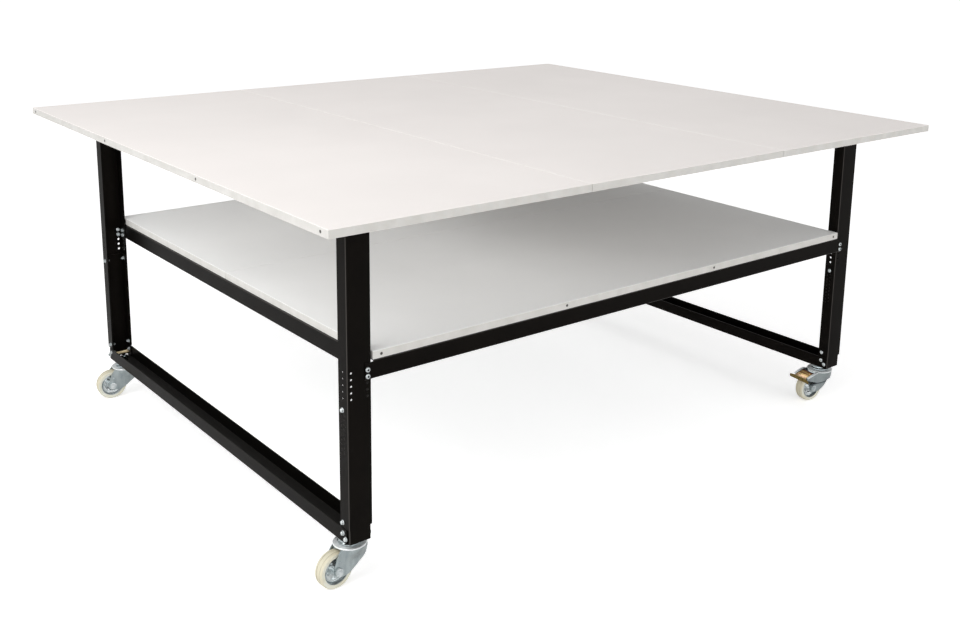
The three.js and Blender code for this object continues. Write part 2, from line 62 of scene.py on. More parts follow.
IMAGE_WIDTH, IMAGE_HEIGHT = 960, 633
SENSOR_WIDTH = 36
CORNERS = ("front_left", "back_left", "front_right", "back_right")
JOINTS = {joint["name"]: joint for joint in frame["joints"]}
MM = 0.001
HAIR = 0.1 * MM  # tells touching faces apart
WELD = 0.01 * MM  # loose corners nearer than this are one
SOFT_BEND = math.radians(50)  # edges that turn less are shaded smoothly
WANDER_SCALE = 70  # of the noise that moves the tones along a piece

# Sides of the round pieces
SCREW_TURNS, SHADE_RING_TURNS, BOLT_TURNS, KNUCKLE_TURNS = 14, 16, 18, 20
HEAD_TURNS, CROWN_TURNS, WHEEL_TURNS = 56, 64, 72

# Outlines of the casters' turned pieces: (radius, height) in millimetres from the bead, neck or crown
HEAD_BEAD = ((-2.5, 0), (-0.8, 0.6), (0, 2), (-0.4, 3.6))
HEAD_NECK = ((1, 5.4), (0, 7))
HEAD_TOP = ((0, -0.6), (-0.6, 0))
CROWN_FOOT = ((-3, 0), (-0.6, 0.2), (0, 1))
CROWN_TOP = ((0, -1), (-1, 0))

# Edge curves of the forks' sheets: (back, up) in millimetres from the crown, the axle, the stem or the pin
ARM_FRONT_TOP = ((5, -1), (3, -13))
ARM_REAR_TOP = ((-5, -1), (3, -11))
ARM_FRONT = ((-66, 17), (-48, 2), (-29, -11), (-15, -14))
ARM_REAR = ((5, 26), (9, 12), (11, -2), (5, -13))
BRAKED_FRONT = ((-59, 20), *ARM_FRONT[1:])
BRAKED_REAR = ((-5, 20), *ARM_REAR[1:])
SKIRT_TOP = ((-25, -1), (0, -1), (27, -1))
SKIRT_FOOT = ((-21, 6), (0, 0), (27, 0))
SKIRT_NOTCH = ((2, 5),)

# Points in the grids and curves
TREAD_POINTS, WEB_POINTS, LIP_POINTS, PLATE_POINTS, BEND_POINTS = 49, 22, 20, 24, 7
ARM_GRID, SKIRT_GRID, BRAKED_GRID, LEDGE_GRID = (34, 26), (48, 18), (26, 22), (12, 4)

# Shares of a piece's own sizes: where the easing of an edge starts, and how far in it goes
WASHER_START, WASHER_IN, HEXAGON_START, HEXAGON_IN = 0.7, 0.93, 0.8, 0.86
SCREW_IN, SHANK, SHANK_IN, SOCKET_CREST, SOCKET_IN = 0.9, 0.6, 0.8, 1.5, 0.96
DOME, SPOT_START, SPOT_IN, BAR_ROUND = 0.7, 0.6, 0.85, 0.6
RING_END, RIM_TURN, CHEEK_LIP_FROM = 0.62, 0.75, 0.62

# Finishes: name, metallic, roughness, specular, noise (scale, detail), places of the two tones on its ramp,
# the tones, and the gloss (noise scale, low, high) where the roughness wanders
WIDE, CLOSE = (0.3, 0.7), (0.35, 0.65)
FINISHES = (
    ("White laminate", 0, 0.6, 0.08, (3, 5), WIDE, ("laminate_shade", "laminate"), (9, 0.56, 0.66)),
    ("Shelf laminate", 0, 0.6, 0.08, (3, 5), WIDE, ("shelf_shade", "shelf"), (9, 0.56, 0.66)),
    # The edge band's tones sit well below the laminate's white: painted shade on the upright board edges
    ("Edge band", 0, 0.4, 0.5, (30, 4), CLOSE, ("edge_band_shade", "edge_band"), (60, 0.35, 0.5)),
    # The screw cups take the sockets' painted shade as the dark tone of their random mottle
    ("Screw cup", 0.4, 0.5, 0.5, (600, 3), WIDE, ("recess", "screw_cup"), None),
    # Painted shade: the bolts' sockets are coloured near black in place of their shadow
    ("Bolt recess", 0.3, 0.6, 0.2, (500, 3), WIDE, ("powder_coat_shade", "recess"), None),
    (
        "Black powder coat", 0, 0.3, 0.055, (14, 4), (0.35, 0.7),
        ("powder_coat_shade", "powder_coat"), (22, 0.26, 0.36),
    ),
    ("Bright zinc", 0.55, 0.3, 0.5, (60, 3), CLOSE, ("zinc", "bolt"), (80, 0.16, 0.28)),
    ("Caster zinc", 1, 0.3, 0.5, (30, 3), CLOSE, ("zinc_shade", "zinc"), (40, 0.14, 0.22)),
    ("Rim zinc", 0.85, 0.2, 0.5, (40, 3), CLOSE, ("zinc", "bolt"), (40, 0.12, 0.22)),
    # Painted highlight: a pale, barely metallic copy of the zinc on the fork crowns and cheek lips
    ("Lip zinc", 0.2, 0.3, 0.5, (60, 3), CLOSE, ("bolt", "lip"), None),
    ("Sleeve zinc", 0.1, 0.3, 0.5, (80, 3), CLOSE, ("sleeve_shade", "sleeve"), (90, 0.22, 0.36)),
    ("Cream tread", 0, 0.5, 0.5, (35, 4), CLOSE, ("tyre_shade", "tyre"), (120, 0.42, 0.58)),
    # Painted shade: dark tone in the tread's moulding grooves
    ("Tread line", 0, 0.6, 0.5, (60, 3), WIDE, ("tyre_line", "tyre_shade"), None),
    ("Pale tyre wall", 0, 0.45, 0.5, (45, 4), CLOSE, ("tyre", "tyre_wall"), (120, 0.36, 0.5)),
)


def srgb(red, green, blue):
    """A display colour of 0 to 255 as the linear colour that shaders take."""
    value = np.array([red, green, blue]) / 255
    linear = np.where(value <= 0.04045, value / 12.92, ((value + 0.055) / 1.055) ** 2.4)
    return tuple(float(v) for v in linear)


def colour(name, description, default):
    """A colour property with its display colour as default."""
    return FloatVectorProperty(
        name=name, description=description, subtype="COLOR", size=3, min=0, max=1, default=srgb(*default)
    )


def length(name, description, millimetres):
    """A length property whose default is given in millimetres."""
    return FloatProperty(name=name, description=description, unit="LENGTH", default=millimetres * MM)


def degrees(name, description, default):
    """An angle property whose default is given in degrees."""
    return FloatProperty(
        name=name, description=description, subtype="ANGLE", default=math.radians(default)
    )


def number(name, description, default):
    """A plain number property."""
    return FloatProperty(name=name, description=description, default=default)


def count(name, description, default):
    """A property for a whole number of at least one."""
    return IntProperty(name=name, description=description, default=default, min=1)


def point(name, description, default):
    """A property for a place in metres."""
    return FloatVectorProperty(
        name=name, description=description, subtype="TRANSLATION", default=default
    )


class TableFinishes(PropertyGroup):
    """Colours of the table's finishes."""

    laminate: colour("Laminate", "White of the worktop and shelf faces", (240, 235, 232))
    laminate_shade: colour("Laminate shade", "Darker tone in the laminate's mottle", (236, 231, 228))
    shelf: colour("Shelf laminate", "White of the shelf's faces", (236, 237, 236))
    shelf_shade: colour("Shelf shade", "Darker tone of the shelf", (231, 232, 231))
    # Painted shade: the edge band is set darker than the laminate so the upright edges read as shaded
    edge_band: colour("Edge band", "White of the banded board edges", (208, 206, 202))
    edge_band_shade: colour("Edge band shade", "Darker tone of the board edges", (199, 197, 192))
    screw_cup: colour("Screw cup", "Dark screw heads in the board edges", (92, 88, 84))
    # Painted shade inside the bolts' sockets, also the dark tone of the screw cups' mottle
    recess: colour("Recess", "Dark inside of a bolt's socket", (28, 28, 28))
    powder_coat: colour("Powder coat", "Black of the steel frame", (13, 11, 9))
    powder_coat_shade: colour("Powder coat shade", "Second tone of the powder coat", (9, 8, 7))
    # Painted highlight: a lighter tone on the sheets' bends, where a sheen line would catch the light
    bend: colour("Bend", "Lighter tone of the powder coat on the sheets' bends", (72, 70, 68))
    # Painted light: faces of the black coat that look up are lightened as if lit from above
    coat_painted_top_light: colour("Coat top", "Lighter tone of the powder coat where it faces up", (32, 31, 30))
    bolt: colour("Bolt zinc", "Bright zinc plate on the bolts", (216, 220, 221))
    zinc: colour("Zinc", "Zinc plate on the casters", (178, 187, 188))
    zinc_shade: colour("Zinc shade", "Bluish tone in the zinc plate", (146, 156, 160))
    # Painted highlight: pale tone of the fork crowns and the braked forks' cheek lips
    lip: colour("Lip", "Bright zinc on a braked fork's lips", (240, 244, 244))
    # Painted shade: the dark band under a braked fork's skirt
    skirt_painted_shade: colour("Crease", "Dark fold under a braked fork's skirt", (38, 42, 44))
    coat_sheen: colour("Coat sheen", "Warm tint of the powder coat's sheen", (255, 238, 226))
    # The pedal tones are partly the yellow zinc's own iridescence, partly painted reflections and highlights laid
    # along the pedal
    pedal_root: colour("Pedal root", "Dark teal of the pedals by the crown", (74, 88, 94))
    pedal_brown: colour("Pedal brown", "Copper tone of the pedals", (168, 96, 60))
    pedal_gold: colour("Pedal gold", "Yellow zinc of the pedals", (252, 222, 148))
    pedal_pink: colour("Pedal pink", "Pink tone of the pedals' yellow zinc", (250, 206, 170))
    pedal_bar: colour("Pedal bar", "Olive tone of the pedals' foot bars", (122, 102, 52))
    sleeve: colour("Sleeve", "Pale gold of the sleeves", (255, 234, 190))
    sleeve_shade: colour("Sleeve shade", "Darker tone of the sleeves", (250, 224, 176))
    tyre: colour("Tyre", "Cream of the tyres", (208, 203, 181))
    tyre_shade: colour("Tyre shade", "Second tone of the treads", (196, 188, 164))
    # Painted shade in the tread's moulding grooves
    tyre_line: colour("Tyre line", "Moulding lines round the treads", (128, 122, 104))
    tyre_wall: colour("Tyre wall", "Pale sides of the tyres", (214, 214, 202))


class TableFasteners(PropertyGroup):
    """Sizes and places of the bolts and screws."""

    flange_radius: length("Bolt flange radius", "Radius of the washer face under a bolt head", 5.4)
    head_radius: length("Bolt head radius", "Radius over a bolt head's corners", 4.5)
    head_height: length("Bolt head height", "Height of a bolt head over its washer face", 3.6)
    button_height: length("Button height", "Height of the low heads on the inner walls", 1.8)
    washer_height: length("Washer height", "Height of a bolt head's washer face", 1.1)
    socket_radius: length("Socket radius", "Radius over the corners of a bolt's socket", 2.3)
    socket_depth: length("Socket depth", "Depth of a bolt's socket", 2.2)
    tip_ease: length("Tip ease", "Eased length of a bolt's end", 0.5)
    bolt_end: length("Bolt end", "How far a bolt's end stands out of its nut", 2.2)
    clearance: length("Bolt clearance", "Gap between a bolt head and the face under it", 0.1)
    slide_gap: length("Slide gap", "Gap between an outer leg's flange and what is inside it", 0.5)
    steel: length("Steel sheet", "Thickness of the legs' and rails' sheet", 2)
    rail_drop: length("Rail bolt drop", "First rail bolt below a rail's top", 18)
    rail_pitch: length("Rail bolt pitch", "Distance between a rail's two bolts", 14)
    web_inset: length("Web bolt inset", "Rail bolts from the leg's inner edge", 10)
    flange_inset: length("Flange bolt inset", "Flange bolts from the leg's face", 18)
    open_holes: count("Open holes", "Holes in a leg's outer column", 5)
    # Rings that narrow the open holes and stand in for their shade: painted shade
    shade_ring_radius: length("Collar radius", "Outer radius of the rings in the open holes", 3.7)
    shade_ring_bore: length("Collar bore", "Inner radius of the rings in the open holes", 2.3)
    shade_ring_drop: length("Collar drop", "How far the rings lie below the sheet's faces", 0.15)
    lock_height: length("Lock bolt height", "Height of the lock bolts above the floor", 398)
    lower_rise: length("Lower bolt rise", "Lower leg bolts above the outer leg's foot", 11)
    lower_inset: length("Lower bolt inset", "Lower leg bolts from the leg's face", 23)
    foot_rise_high: length("Upper foot bolt rise", "Upper foot bolts above the rail's underside", 23)
    foot_inset_high: length("Upper foot bolt inset", "Upper foot bolts from the leg's face", 23)
    foot_rise_low: length("Lower foot bolt rise", "Lower foot bolts above the rail's underside", 13)
    foot_inset_low: length("Lower foot bolt inset", "Lower foot bolts from the leg's face", 12.5)
    screw_radius: length("Edge screw radius", "Radius of the screw heads in the board edges", 3.2)
    screw_depth: length("Edge screw depth", "How deep the edge screws' heads go", 1)
    worktop_screw_pitch: length("Worktop screw pitch", "Between screws along the worktop's edge", 515)
    shelf_screw_pitch: length("Shelf screw pitch", "Between screws along the shelf's edge", 500)
    screw_count: count("Edge screws", "Screws along one board edge", 4)
    board_inset: length("Board inset", "How far the boards' faces lie inside their boxes", 0.3)
    board_ease: length("Board ease", "Radius of the boards' eased edges", 0.8)
    board_corner: length("Board corner", "Radius of the boards' corners", 1.2)


class TableCasters(PropertyGroup):
    """Sizes of the casters' pressed, turned and moulded pieces."""

    tyre_width: length("Tyre width", "Width of a tyre", 25)
    tyre_bed_gap: length("Tyre bed gap", "Gap between a tyre and its rim", 0.3)
    tread_fall: length("Tread fall", "How far a tread falls away at its shoulders", 2.2)
    groove_depth: length("Groove depth", "Depth of the moulding lines round a tread", 0.8)
    groove_place: length("Groove place", "Moulding lines from a tread's middle", 5.25)
    groove_width: length("Groove width", "Half width of a moulding line", 0.875)
    wall_height: length("Wall height", "Height of a tyre's shoulder below its tread", 4)
    wall_lap: length("Wall lap", "How far a tyre's wall laps over the rim's lip", 3.5)
    wall_ease: length("Wall ease", "Height of the eased foot of a tyre's wall", 1)
    wall_step: length("Wall step", "How far the foot of a tyre's wall is drawn in", 0.4)
    rim_bore: length("Rim bore", "Radius of the rim's bore", 5.3)
    hub_radius: length("Hub radius", "Radius of the rim's hub", 11)
    hub_half: length("Hub half width", "Half of the hub's width", 14.4)
    hub_foot: length("Hub foot", "How far the hub's foot goes out into the web", 1.5)
    hub_taper: length("Hub taper", "How much wider the hub is at its foot", 0.6)
    hub_rise: length("Hub rise", "Height over the web at which the hub's foot starts", 2)
    rim_ease: length("Rim ease", "Eased edges of the hub and the lip", 0.8)
    lip_ease: length("Lip ease", "Eased outer edge of the rim's lip", 0.5)
    bed_half: length("Bed half width", "Half of the rim's width under the tyre", 11.5)
    web_half: length("Web half thickness", "Half of the rim's web at the hub", 3.2)
    rim_lip: length("Rim lip", "Width of the rim's outer lip", 3.2)
    dish: length("Dish", "Height of the ring pressed in the rim's web", 3)
    dimple_radius: length("Dimple radius", "Radius of the round dimples in the rim", 2.6)
    dimple_depth: length("Dimple depth", "Depth of the round dimples in the rim", 2.4)
    dimple_ring: length("Dimple ring", "Radius of the ring of dimples", 19.5)
    dimples: count("Dimples", "Dimples round a rim", 6)
    stem_bore: length("Stem bore", "Radius of the bore round the stem", 6.4)
    head_radius: length("Head radius", "Radius of the swivel head's bead", 26)
    neck_radius: length("Neck radius", "Radius of the swivel head's neck", 22)
    crown_radius: length("Crown radius", "Radius of the fork's crown", 36)
    crown_height: length("Crown height", "Thickness of the fork's crown", 3.5)
    crown_top: length("Crown top", "Height of the crown's top above the floor", 89)
    sheet: length("Fork sheet", "Thickness of the fork's sheet", 2.5)
    sheet_inset: length("Sheet inset", "Fork's sheets inside the crown's edge", 1)
    arm_inner: length("Arm inner", "Inner face of a fork's arm from its middle", 15)
    flat_rise: length("Flat rise", "Height above the axle up to which an arm is flat", 10)
    cheek_inner: length("Cheek inner", "Inner face of a pedal's cheek from the middle", 21)
    cheek_rear: length("Cheek rear", "Rear end of a pedal's cheek behind the pedal's pin", 30)
    eye_rise: length("Eye rise", "Top of a cheek above the pedal's pin", 5)
    skirt_rise: length("Skirt rise", "Foot of a braked fork's skirt above the axle", 16)
    ledge_inset: length("Ledge inset", "How far the ledge under a skirt is set in", 1)
    ledge_sheet: length("Ledge sheet", "Thickness of the ledge under a skirt", 3)
    lip_half: length("Lip half", "Half of a cheek lip's thickness", 1)
    cheek_lip: length("Cheek lip", "Width of the lip along a cheek's top edge", 8)
    # The painted shade under a braked fork's skirt fades out over this depth
    skirt_shade_depth: length("Fold depth", "How far the dark fold goes down below a skirt", 9)
    rivet_radius: length("Rivet radius", "Radius of the pressed spot above the axle", 4)
    rivet_root: length("Rivet root", "How deep in the arm the pressed spot starts", 0.5)
    rivet_lead: length("Rivet lead", "How far the pressed spot lies before the axle", 4.5)
    rivet_rise: length("Rivet rise", "Height of the pressed spot above the axle", 19)
    rivet_height: length("Rivet height", "How far the pressed spot stands out", 0.7)
    pedal_sheet: length("Pedal sheet", "Thickness of a pedal's sheet", 2.5)
    pedal_length: length("Pedal length", "Length of a pedal's plate", 39)
    pedal_half: length("Pedal half width", "Half of a pedal plate's width", 20.5)
    pedal_bend: length("Pedal bend", "Radius of the bend into a pedal's foot bar", 2.4)
    pedal_neck: length("Pedal neck", "Where a pedal starts to widen, before its bar", 5)
    pedal_flare: length("Pedal flare", "Length over which a pedal widens", 3.4)
    pedal_bar_half: length("Pedal bar half width", "Half of a pedal's foot bar", 36.4)
    pedal_bar_height: length("Pedal bar height", "Height of a pedal's foot bar", 8.4)
    pedal_slope: degrees("Pedal slope", "Slope of a pedal at rest", 17)
    knuckle_radius: length("Knuckle radius", "Radius of a pedal's knuckles", 4)
    knuckle_bore: length("Knuckle bore", "Radius of the bore in a pedal's knuckles", 2.3)
    knuckle_length: length("Knuckle length", "Length of a pedal's knuckles", 6)


class TableStage(PropertyGroup):
    """Camera and light."""

    azimuth: degrees("Azimuth", "Camera's turn round the table", -39.382)
    pitch: degrees("Pitch", "Camera's downward tilt", 12.699)
    roll: degrees("Roll", "Camera's roll about its view", 1.006)
    focal_pixels: number("Focal length", "Focal length in pixels", 1171.4)
    centre_x: number("Centre X", "View axis in the picture, in pixels from its left", 510.2)
    centre_y: number("Centre Y", "View axis in the picture, in pixels from its top", 180.0)
    place: point("Camera place", "Camera's place", (-1.96082, -2.53132, 1.36644))
    key_power: number("Key light", "Power of the key light at the left", 45)
    key_size: length("Key size", "Width of the key light", 2000)
    key_place: point("Key place", "Place of the key light", (-2.4, -0.6, 2.8))
    rim_power: number("Rim light", "Power of the light behind the right", 7)
    rim_size: length("Rim size", "Width of the light behind the right", 800)
    rim_place: point("Rim place", "Place of the light behind the right", (2.6, 1.6, 2.8))
    shelf_power: number("Shelf light", "Power of the light over the shelf", 1.15)
    shelf_width: length("Shelf light width", "Width of the light over the shelf", 950)
    shelf_depth: length("Shelf light depth", "Depth of the light over the shelf", 1450)
    shelf_place: point("Shelf light place", "Place of the light over the shelf", (-0.52, 0.02, 0.74))
    horizon: number("Horizon", "Strength of the light from low down", 1.7)
    zenith: number("Zenith", "Strength of the light from overhead", 0.52)
    lean: FloatVectorProperty(
        name="Lean", description="Which way, and how much, the sky is stronger", default=(-0.42, -0.42, 0)
    )
    band_top: number("Band top", "Sine of the height where the low light ends", 0.62)
    floor_half: length("Floor half width", "Half of the floor's width", 30000)
    floor_tone: number("Floor tone", "Brightness of the floor", 0.88)
    floor_lift: number("Floor lift", "Glow of the floor as the camera sees it", 0.5)


def grid_quads(rows, columns, wrap_rows, wrap_columns):
    """Quads of a grid of points, joined end to end in the directions that wrap."""
    row, column = np.meshgrid(
        np.arange(rows if wrap_rows else rows - 1),
        np.arange(columns if wrap_columns else columns - 1),
        indexing="ij",
    )
    next_row, next_column = (row + 1) % rows, (column + 1) % columns
    corners = (
        row * columns + column,
        row * columns + next_column,
        next_row * columns + next_column,
        next_row * columns + column,
    )
    return np.stack(corners, axis=-1).reshape(-1, 4)


class Surfaces:
    """Collects closed shells of points into one mesh."""

    def __init__(self):
        self.points, self.faces, self.slots, self.count = [], [], [], 0

    def shell(self, points, quads, caps, slots):
        """A closed shell, turned round if the sum of its triangles' signed volumes is below nought."""
        fans = [np.stack([np.full(len(cap) - 2, cap[0]), cap[1:-1], cap[2:]], axis=-1) for cap in caps]
        triangles = np.concatenate([quads[:, :3], quads[:, [0, 2, 3]], *fans])
        first, second, third = (points[triangles[:, i]] - points.mean(axis=0) for i in range(3))
        step = -1 if np.einsum("ij,ij->", first, np.cross(second, third)) < 0 else 1
        self.faces.extend((quads[:, ::step] + self.count).tolist())
        self.faces.extend((cap[::step] + self.count).tolist() for cap in caps)
        self.points.append(points)
        self.slots.extend(slots)
        self.count += len(points)
        return self

    def add(self, grid, wrap_rows=False, slots=0, cap_slot=0):
        """A grid whose rows are closed loops, joined end to end or capped on the first and last loop."""
        rows, columns = grid.shape[:2]
        quads = grid_quads(rows, columns, wrap_rows, True)
        bands = rows if wrap_rows else rows - 1
        found = np.repeat(np.broadcast_to(slots, bands), columns).tolist()
        loop = np.arange(columns)
        caps = [] if wrap_rows else [loop[::-1], loop + (rows - 1) * columns]
        return self.shell(grid.reshape(-1, 3), quads, caps, found + [cap_slot] * len(caps))

    def add_sheet(self, outer, inner):
        """A bent sheet: loops round its two skins, with a strip of quads over the first and last row."""
        rows, columns = outer.shape[:2]
        loops = np.concatenate([outer, inner[:, ::-1]], axis=1)
        around = 2 * columns
        near = np.arange(columns)
        far = around - 1 - near
        strip = np.stack([near[:-1], far[:-1], far[1:], near[1:]], axis=-1)
        quads = np.concatenate([
            grid_quads(rows, around, False, True), strip, strip[:, ::-1] + (rows - 1) * around
        ])
        return self.shell(loops.reshape(-1, 3), quads, [], [0] * len(quads))

    def build(self, name, materials, body, slot, nodes=(), smooth_angle=35, along=None):
        """The mesh object, riding on a body in place of the named CAD nodes. Along becomes an attribute."""
        mesh = bpy.data.meshes.new(name)
        mesh.from_pydata(np.concatenate(self.points).tolist(), [], self.faces)
        for material in materials:
            mesh.materials.append(finish(material))
        mesh.polygons.foreach_set("material_index", np.array(self.slots, dtype=np.int32))
        mesh.set_sharp_from_angle(angle=math.radians(smooth_angle))
        if along is not None:
            mesh.attributes.new("along", "FLOAT", "POINT").data.foreach_set("value", along.ravel())
        mesh.update()
        piece = bpy.data.objects.new(name, mesh)
        bpy.context.scene.collection.objects.link(piece)
        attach(piece, body)
        if nodes:
            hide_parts(*nodes)
        return piece


def revolved(profile, turns):
    """Each (radius, height) of the profile carried round +Z."""
    angle = np.linspace(0, 2 * np.pi, turns, endpoint=False)
    radius, height = np.asarray(profile, dtype=float).T[:, :, None]
    height = np.broadcast_to(height, (len(radius), turns))
    return np.stack([radius * np.cos(angle), radius * np.sin(angle), height], axis=-1)


def placed(grid, centre, axis):
    """The grid moved so that its +Z lies along the axis and its origin is at the centre."""
    turn = Vector((0, 0, 1)).rotation_difference(Vector(axis)).to_matrix()
    return grid @ np.array(turn).T + np.array(centre)


def offset(base, steps):
    """Points at steps, in millimetres, from a base point."""
    return np.array(base) + np.array(steps) * MM


def rounded_outline(half_x, half_y, radius, steps=5):
    """A rectangle with round corners, anticlockwise: each corner's arc in turn."""
    angle = np.linspace(0, np.pi / 2, steps)
    start = np.arange(4)[:, None] * np.pi / 2
    centre_x = np.array([1, -1, -1, 1])[:, None] * (half_x - radius)
    centre_y = np.array([1, 1, -1, -1])[:, None] * (half_y - radius)
    x = centre_x + radius * np.cos(start + angle)
    y = centre_y + radius * np.sin(start + angle)
    return np.stack([x.ravel(), y.ravel()], axis=-1)


def eased_slab(low, high, ease, corner):
    """A board as stacked outlines: quarter-round steps in at the top and bottom edges."""
    low, high = np.array(low), np.array(high)
    half = (high - low) / 2
    centre = (high + low) / 2
    angle = np.linspace(0, np.pi / 2, 4)
    inset = np.concatenate([ease * (1 - np.sin(angle)), ease * (1 - np.sin(angle[::-1]))])
    height = np.concatenate([low[2] + ease * (1 - np.cos(angle)), high[2] - ease * (1 - np.cos(angle[::-1]))])
    loops = [rounded_outline(half[0] - i, half[1] - i, corner) for i in inset]
    flat = np.stack(loops) + centre[:2]
    return np.concatenate([flat, np.broadcast_to(height[:, None, None], flat.shape[:2] + (1,))], axis=-1)


def set_input(tree, socket, value):
    """Gives an input a value, or links it from another socket."""
    if isinstance(value, bpy.types.NodeSocket):
        tree.links.new(value, socket)
    else:
        socket.default_value = value


def add_node(tree, kind, inputs=None, **settings):
    """A node with its settings and its inputs, by name or place."""
    node = tree.nodes.new(kind)
    for name, value in settings.items():
        setattr(node, name, value)
    for socket, value in (inputs or {}).items():
        set_input(tree, node.inputs[socket], value)
    return node


class Shader:
    """A Principled material built from a few procedural layers on Object coordinates."""

    def __init__(self, name, metallic, roughness, specular=0.5):
        self.material = bpy.data.materials.new(name)
        self.material.use_nodes = True
        self.tree = self.material.node_tree
        self.inputs = self.tree.nodes["Principled BSDF"].inputs
        self.coordinates = self.node("TexCoord").outputs
        self.give({"Metallic": metallic, "Roughness": roughness, "Specular IOR Level": specular})

    def node(self, kind, inputs=None, **settings):
        """A shader node in this material."""
        return add_node(self.tree, f"ShaderNode{kind}", inputs, **settings)

    def give(self, inputs):
        """Sets inputs of the Principled shader."""
        for socket, value in inputs.items():
            set_input(self.tree, self.inputs[socket], value)

    def noise(self, scale, detail=3, stretch=(1, 1, 1)):
        """Noise of a size, stretched along the axes."""
        mapping = self.node("Mapping", {"Vector": self.coordinates["Object"], "Scale": stretch})
        place = mapping.outputs["Vector"]
        return self.node("TexNoise", {"Vector": place, "Scale": scale, "Detail": detail}).outputs["Fac"]

    def along(self, wander, stretch=(1, 1, 1)):
        """The piece's along attribute, moved a little by noise."""
        attribute = self.node("Attribute", attribute_name="along").outputs["Fac"]
        noise = self.noise(WANDER_SCALE, stretch=stretch)
        return self.node("Math", {0: noise, 1: wander, 2: attribute}, operation="MULTIPLY_ADD").outputs[0]

    def tint(self, factor, stops):
        """Base colour from a ramp of (place, colour) stops."""
        ramp = self.node("ValToRGB", {"Fac": factor})
        elements = ramp.color_ramp.elements
        while len(elements) < len(stops):
            elements.new(0.5)
        for element, (place, tone) in zip(elements, stops):
            element.position = place
            element.color = (*tone, 1)
        self.give({"Base Color": ramp.outputs["Color"]})

    def bends(self, tone, width):
        """Mixes a tone in as a painted highlight where the surface faces between the axes: one less its normal's
        largest part.
        """
        size = self.node("VectorMath", {0: self.coordinates["Normal"]}, operation="ABSOLUTE")
        x, y, z = self.node("SeparateXYZ", {"Vector": size.outputs["Vector"]}).outputs
        wide = self.node("Math", {0: x, 1: y}, operation="MAXIMUM").outputs[0]
        largest = self.node("Math", {0: z, 1: wide}, operation="MAXIMUM").outputs[0]
        share = self.node("MapRange", {"Value": largest, "From Min": 1, "From Max": 1 - width})
        self.blend(share.outputs["Result"], tone)

    def paint_top_light(self, tone, start):
        """Paints light on: mixes a tone in where the surface faces up, by its normal's height above a start."""
        parts = self.node("SeparateXYZ", {"Vector": self.coordinates["Normal"]})
        share = self.node("MapRange", {"Value": parts.outputs["Z"], "From Min": start})
        self.blend(share.outputs["Result"], tone)

    def blend(self, factor, tone):
        """Mixes a tone over the base colour by a factor."""
        below = self.inputs["Base Color"].links[0].from_socket
        mix = self.node("Mix", data_type="RGBA")
        first, second = (socket for socket in mix.inputs if socket.type == "RGBA")
        set_input(self.tree, mix.inputs["Factor"], factor)
        set_input(self.tree, first, below)
        set_input(self.tree, second, (*tone, 1))
        self.give({"Base Color": next(socket for socket in mix.outputs if socket.type == "RGBA")})

    def gloss(self, scale, low, high):
        """Roughness that wanders between two values over noise."""
        span = self.node("MapRange", {"Value": self.noise(scale), "To Min": low, "To Max": high})
        self.give({"Roughness": span.outputs["Result"]})

    def grain(self, factor, depth, strength):
        """A fine bump."""
        bump = self.node("Bump", {"Height": factor, "Distance": depth, "Strength": strength})
        self.give({"Normal": bump.outputs["Normal"]})


def finish_materials(finishes):
    """Every finish of the table, by name: each a ramp of tones over noise, with a wandering gloss."""
    made = {}
    for name, metallic, roughness, specular, mottle, places, tones, gloss in FINISHES:
        made[name] = shader = Shader(name, metallic, roughness, specular)
        colours = [getattr(finishes, tone) for tone in tones]
        shader.tint(shader.noise(*mottle), list(zip(places, colours)))
        if gloss:
            shader.gloss(*gloss)
    laminate, steel = made["White laminate"], made["Black powder coat"]
    laminate.grain(laminate.noise(900, 2), 0.0002, 0.12)
    # Painted light on the faces that look up
    steel.paint_top_light(finishes.coat_painted_top_light, 0.8)
    # Painted highlight along the sheets' bends
    steel.bends(finishes.bend, 0.25)
    steel.give({"Specular Tint": (*finishes.coat_sheen, 1)})
    steel.grain(steel.noise(1400, 2), 0.0003, 0.1)
    # The fork's ramp paints shade under a braked fork's skirt, read from the along attribute; noise mottles the
    # rest
    fork = Shader("Fork zinc", 1, 0.3)
    fork.tint(
        fork.along(-0.45, (1, 1, 0.3)),
        [(0.2, finishes.skirt_painted_shade), (0.64, finishes.zinc_shade), (0.8, finishes.zinc)],
    )
    fork.gloss(40, 0.18, 0.28)
    # The pedal's ramp along its length: yellow zinc iridescence mixed with painted reflections and highlights
    gold = Shader("Yellow zinc", 0.6, 0.3)
    gold.tint(
        gold.along(0.14),
        [
            (0.08, finishes.pedal_root), (0.2, finishes.pedal_brown), (0.34, finishes.pedal_gold),
            (0.46, finishes.pedal_brown), (0.58, finishes.pedal_gold), (0.8, finishes.pedal_pink),
            (0.94, finishes.pedal_bar),
        ],
    )
    gold.gloss(80, 0.2, 0.36)


def finish(name):
    """A finish made by the first operator."""
    return bpy.data.materials[name]


def box(node):
    """Lowest and highest corner of a CAD node as arrays."""
    low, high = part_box(node)
    return np.array(low), np.array(high)


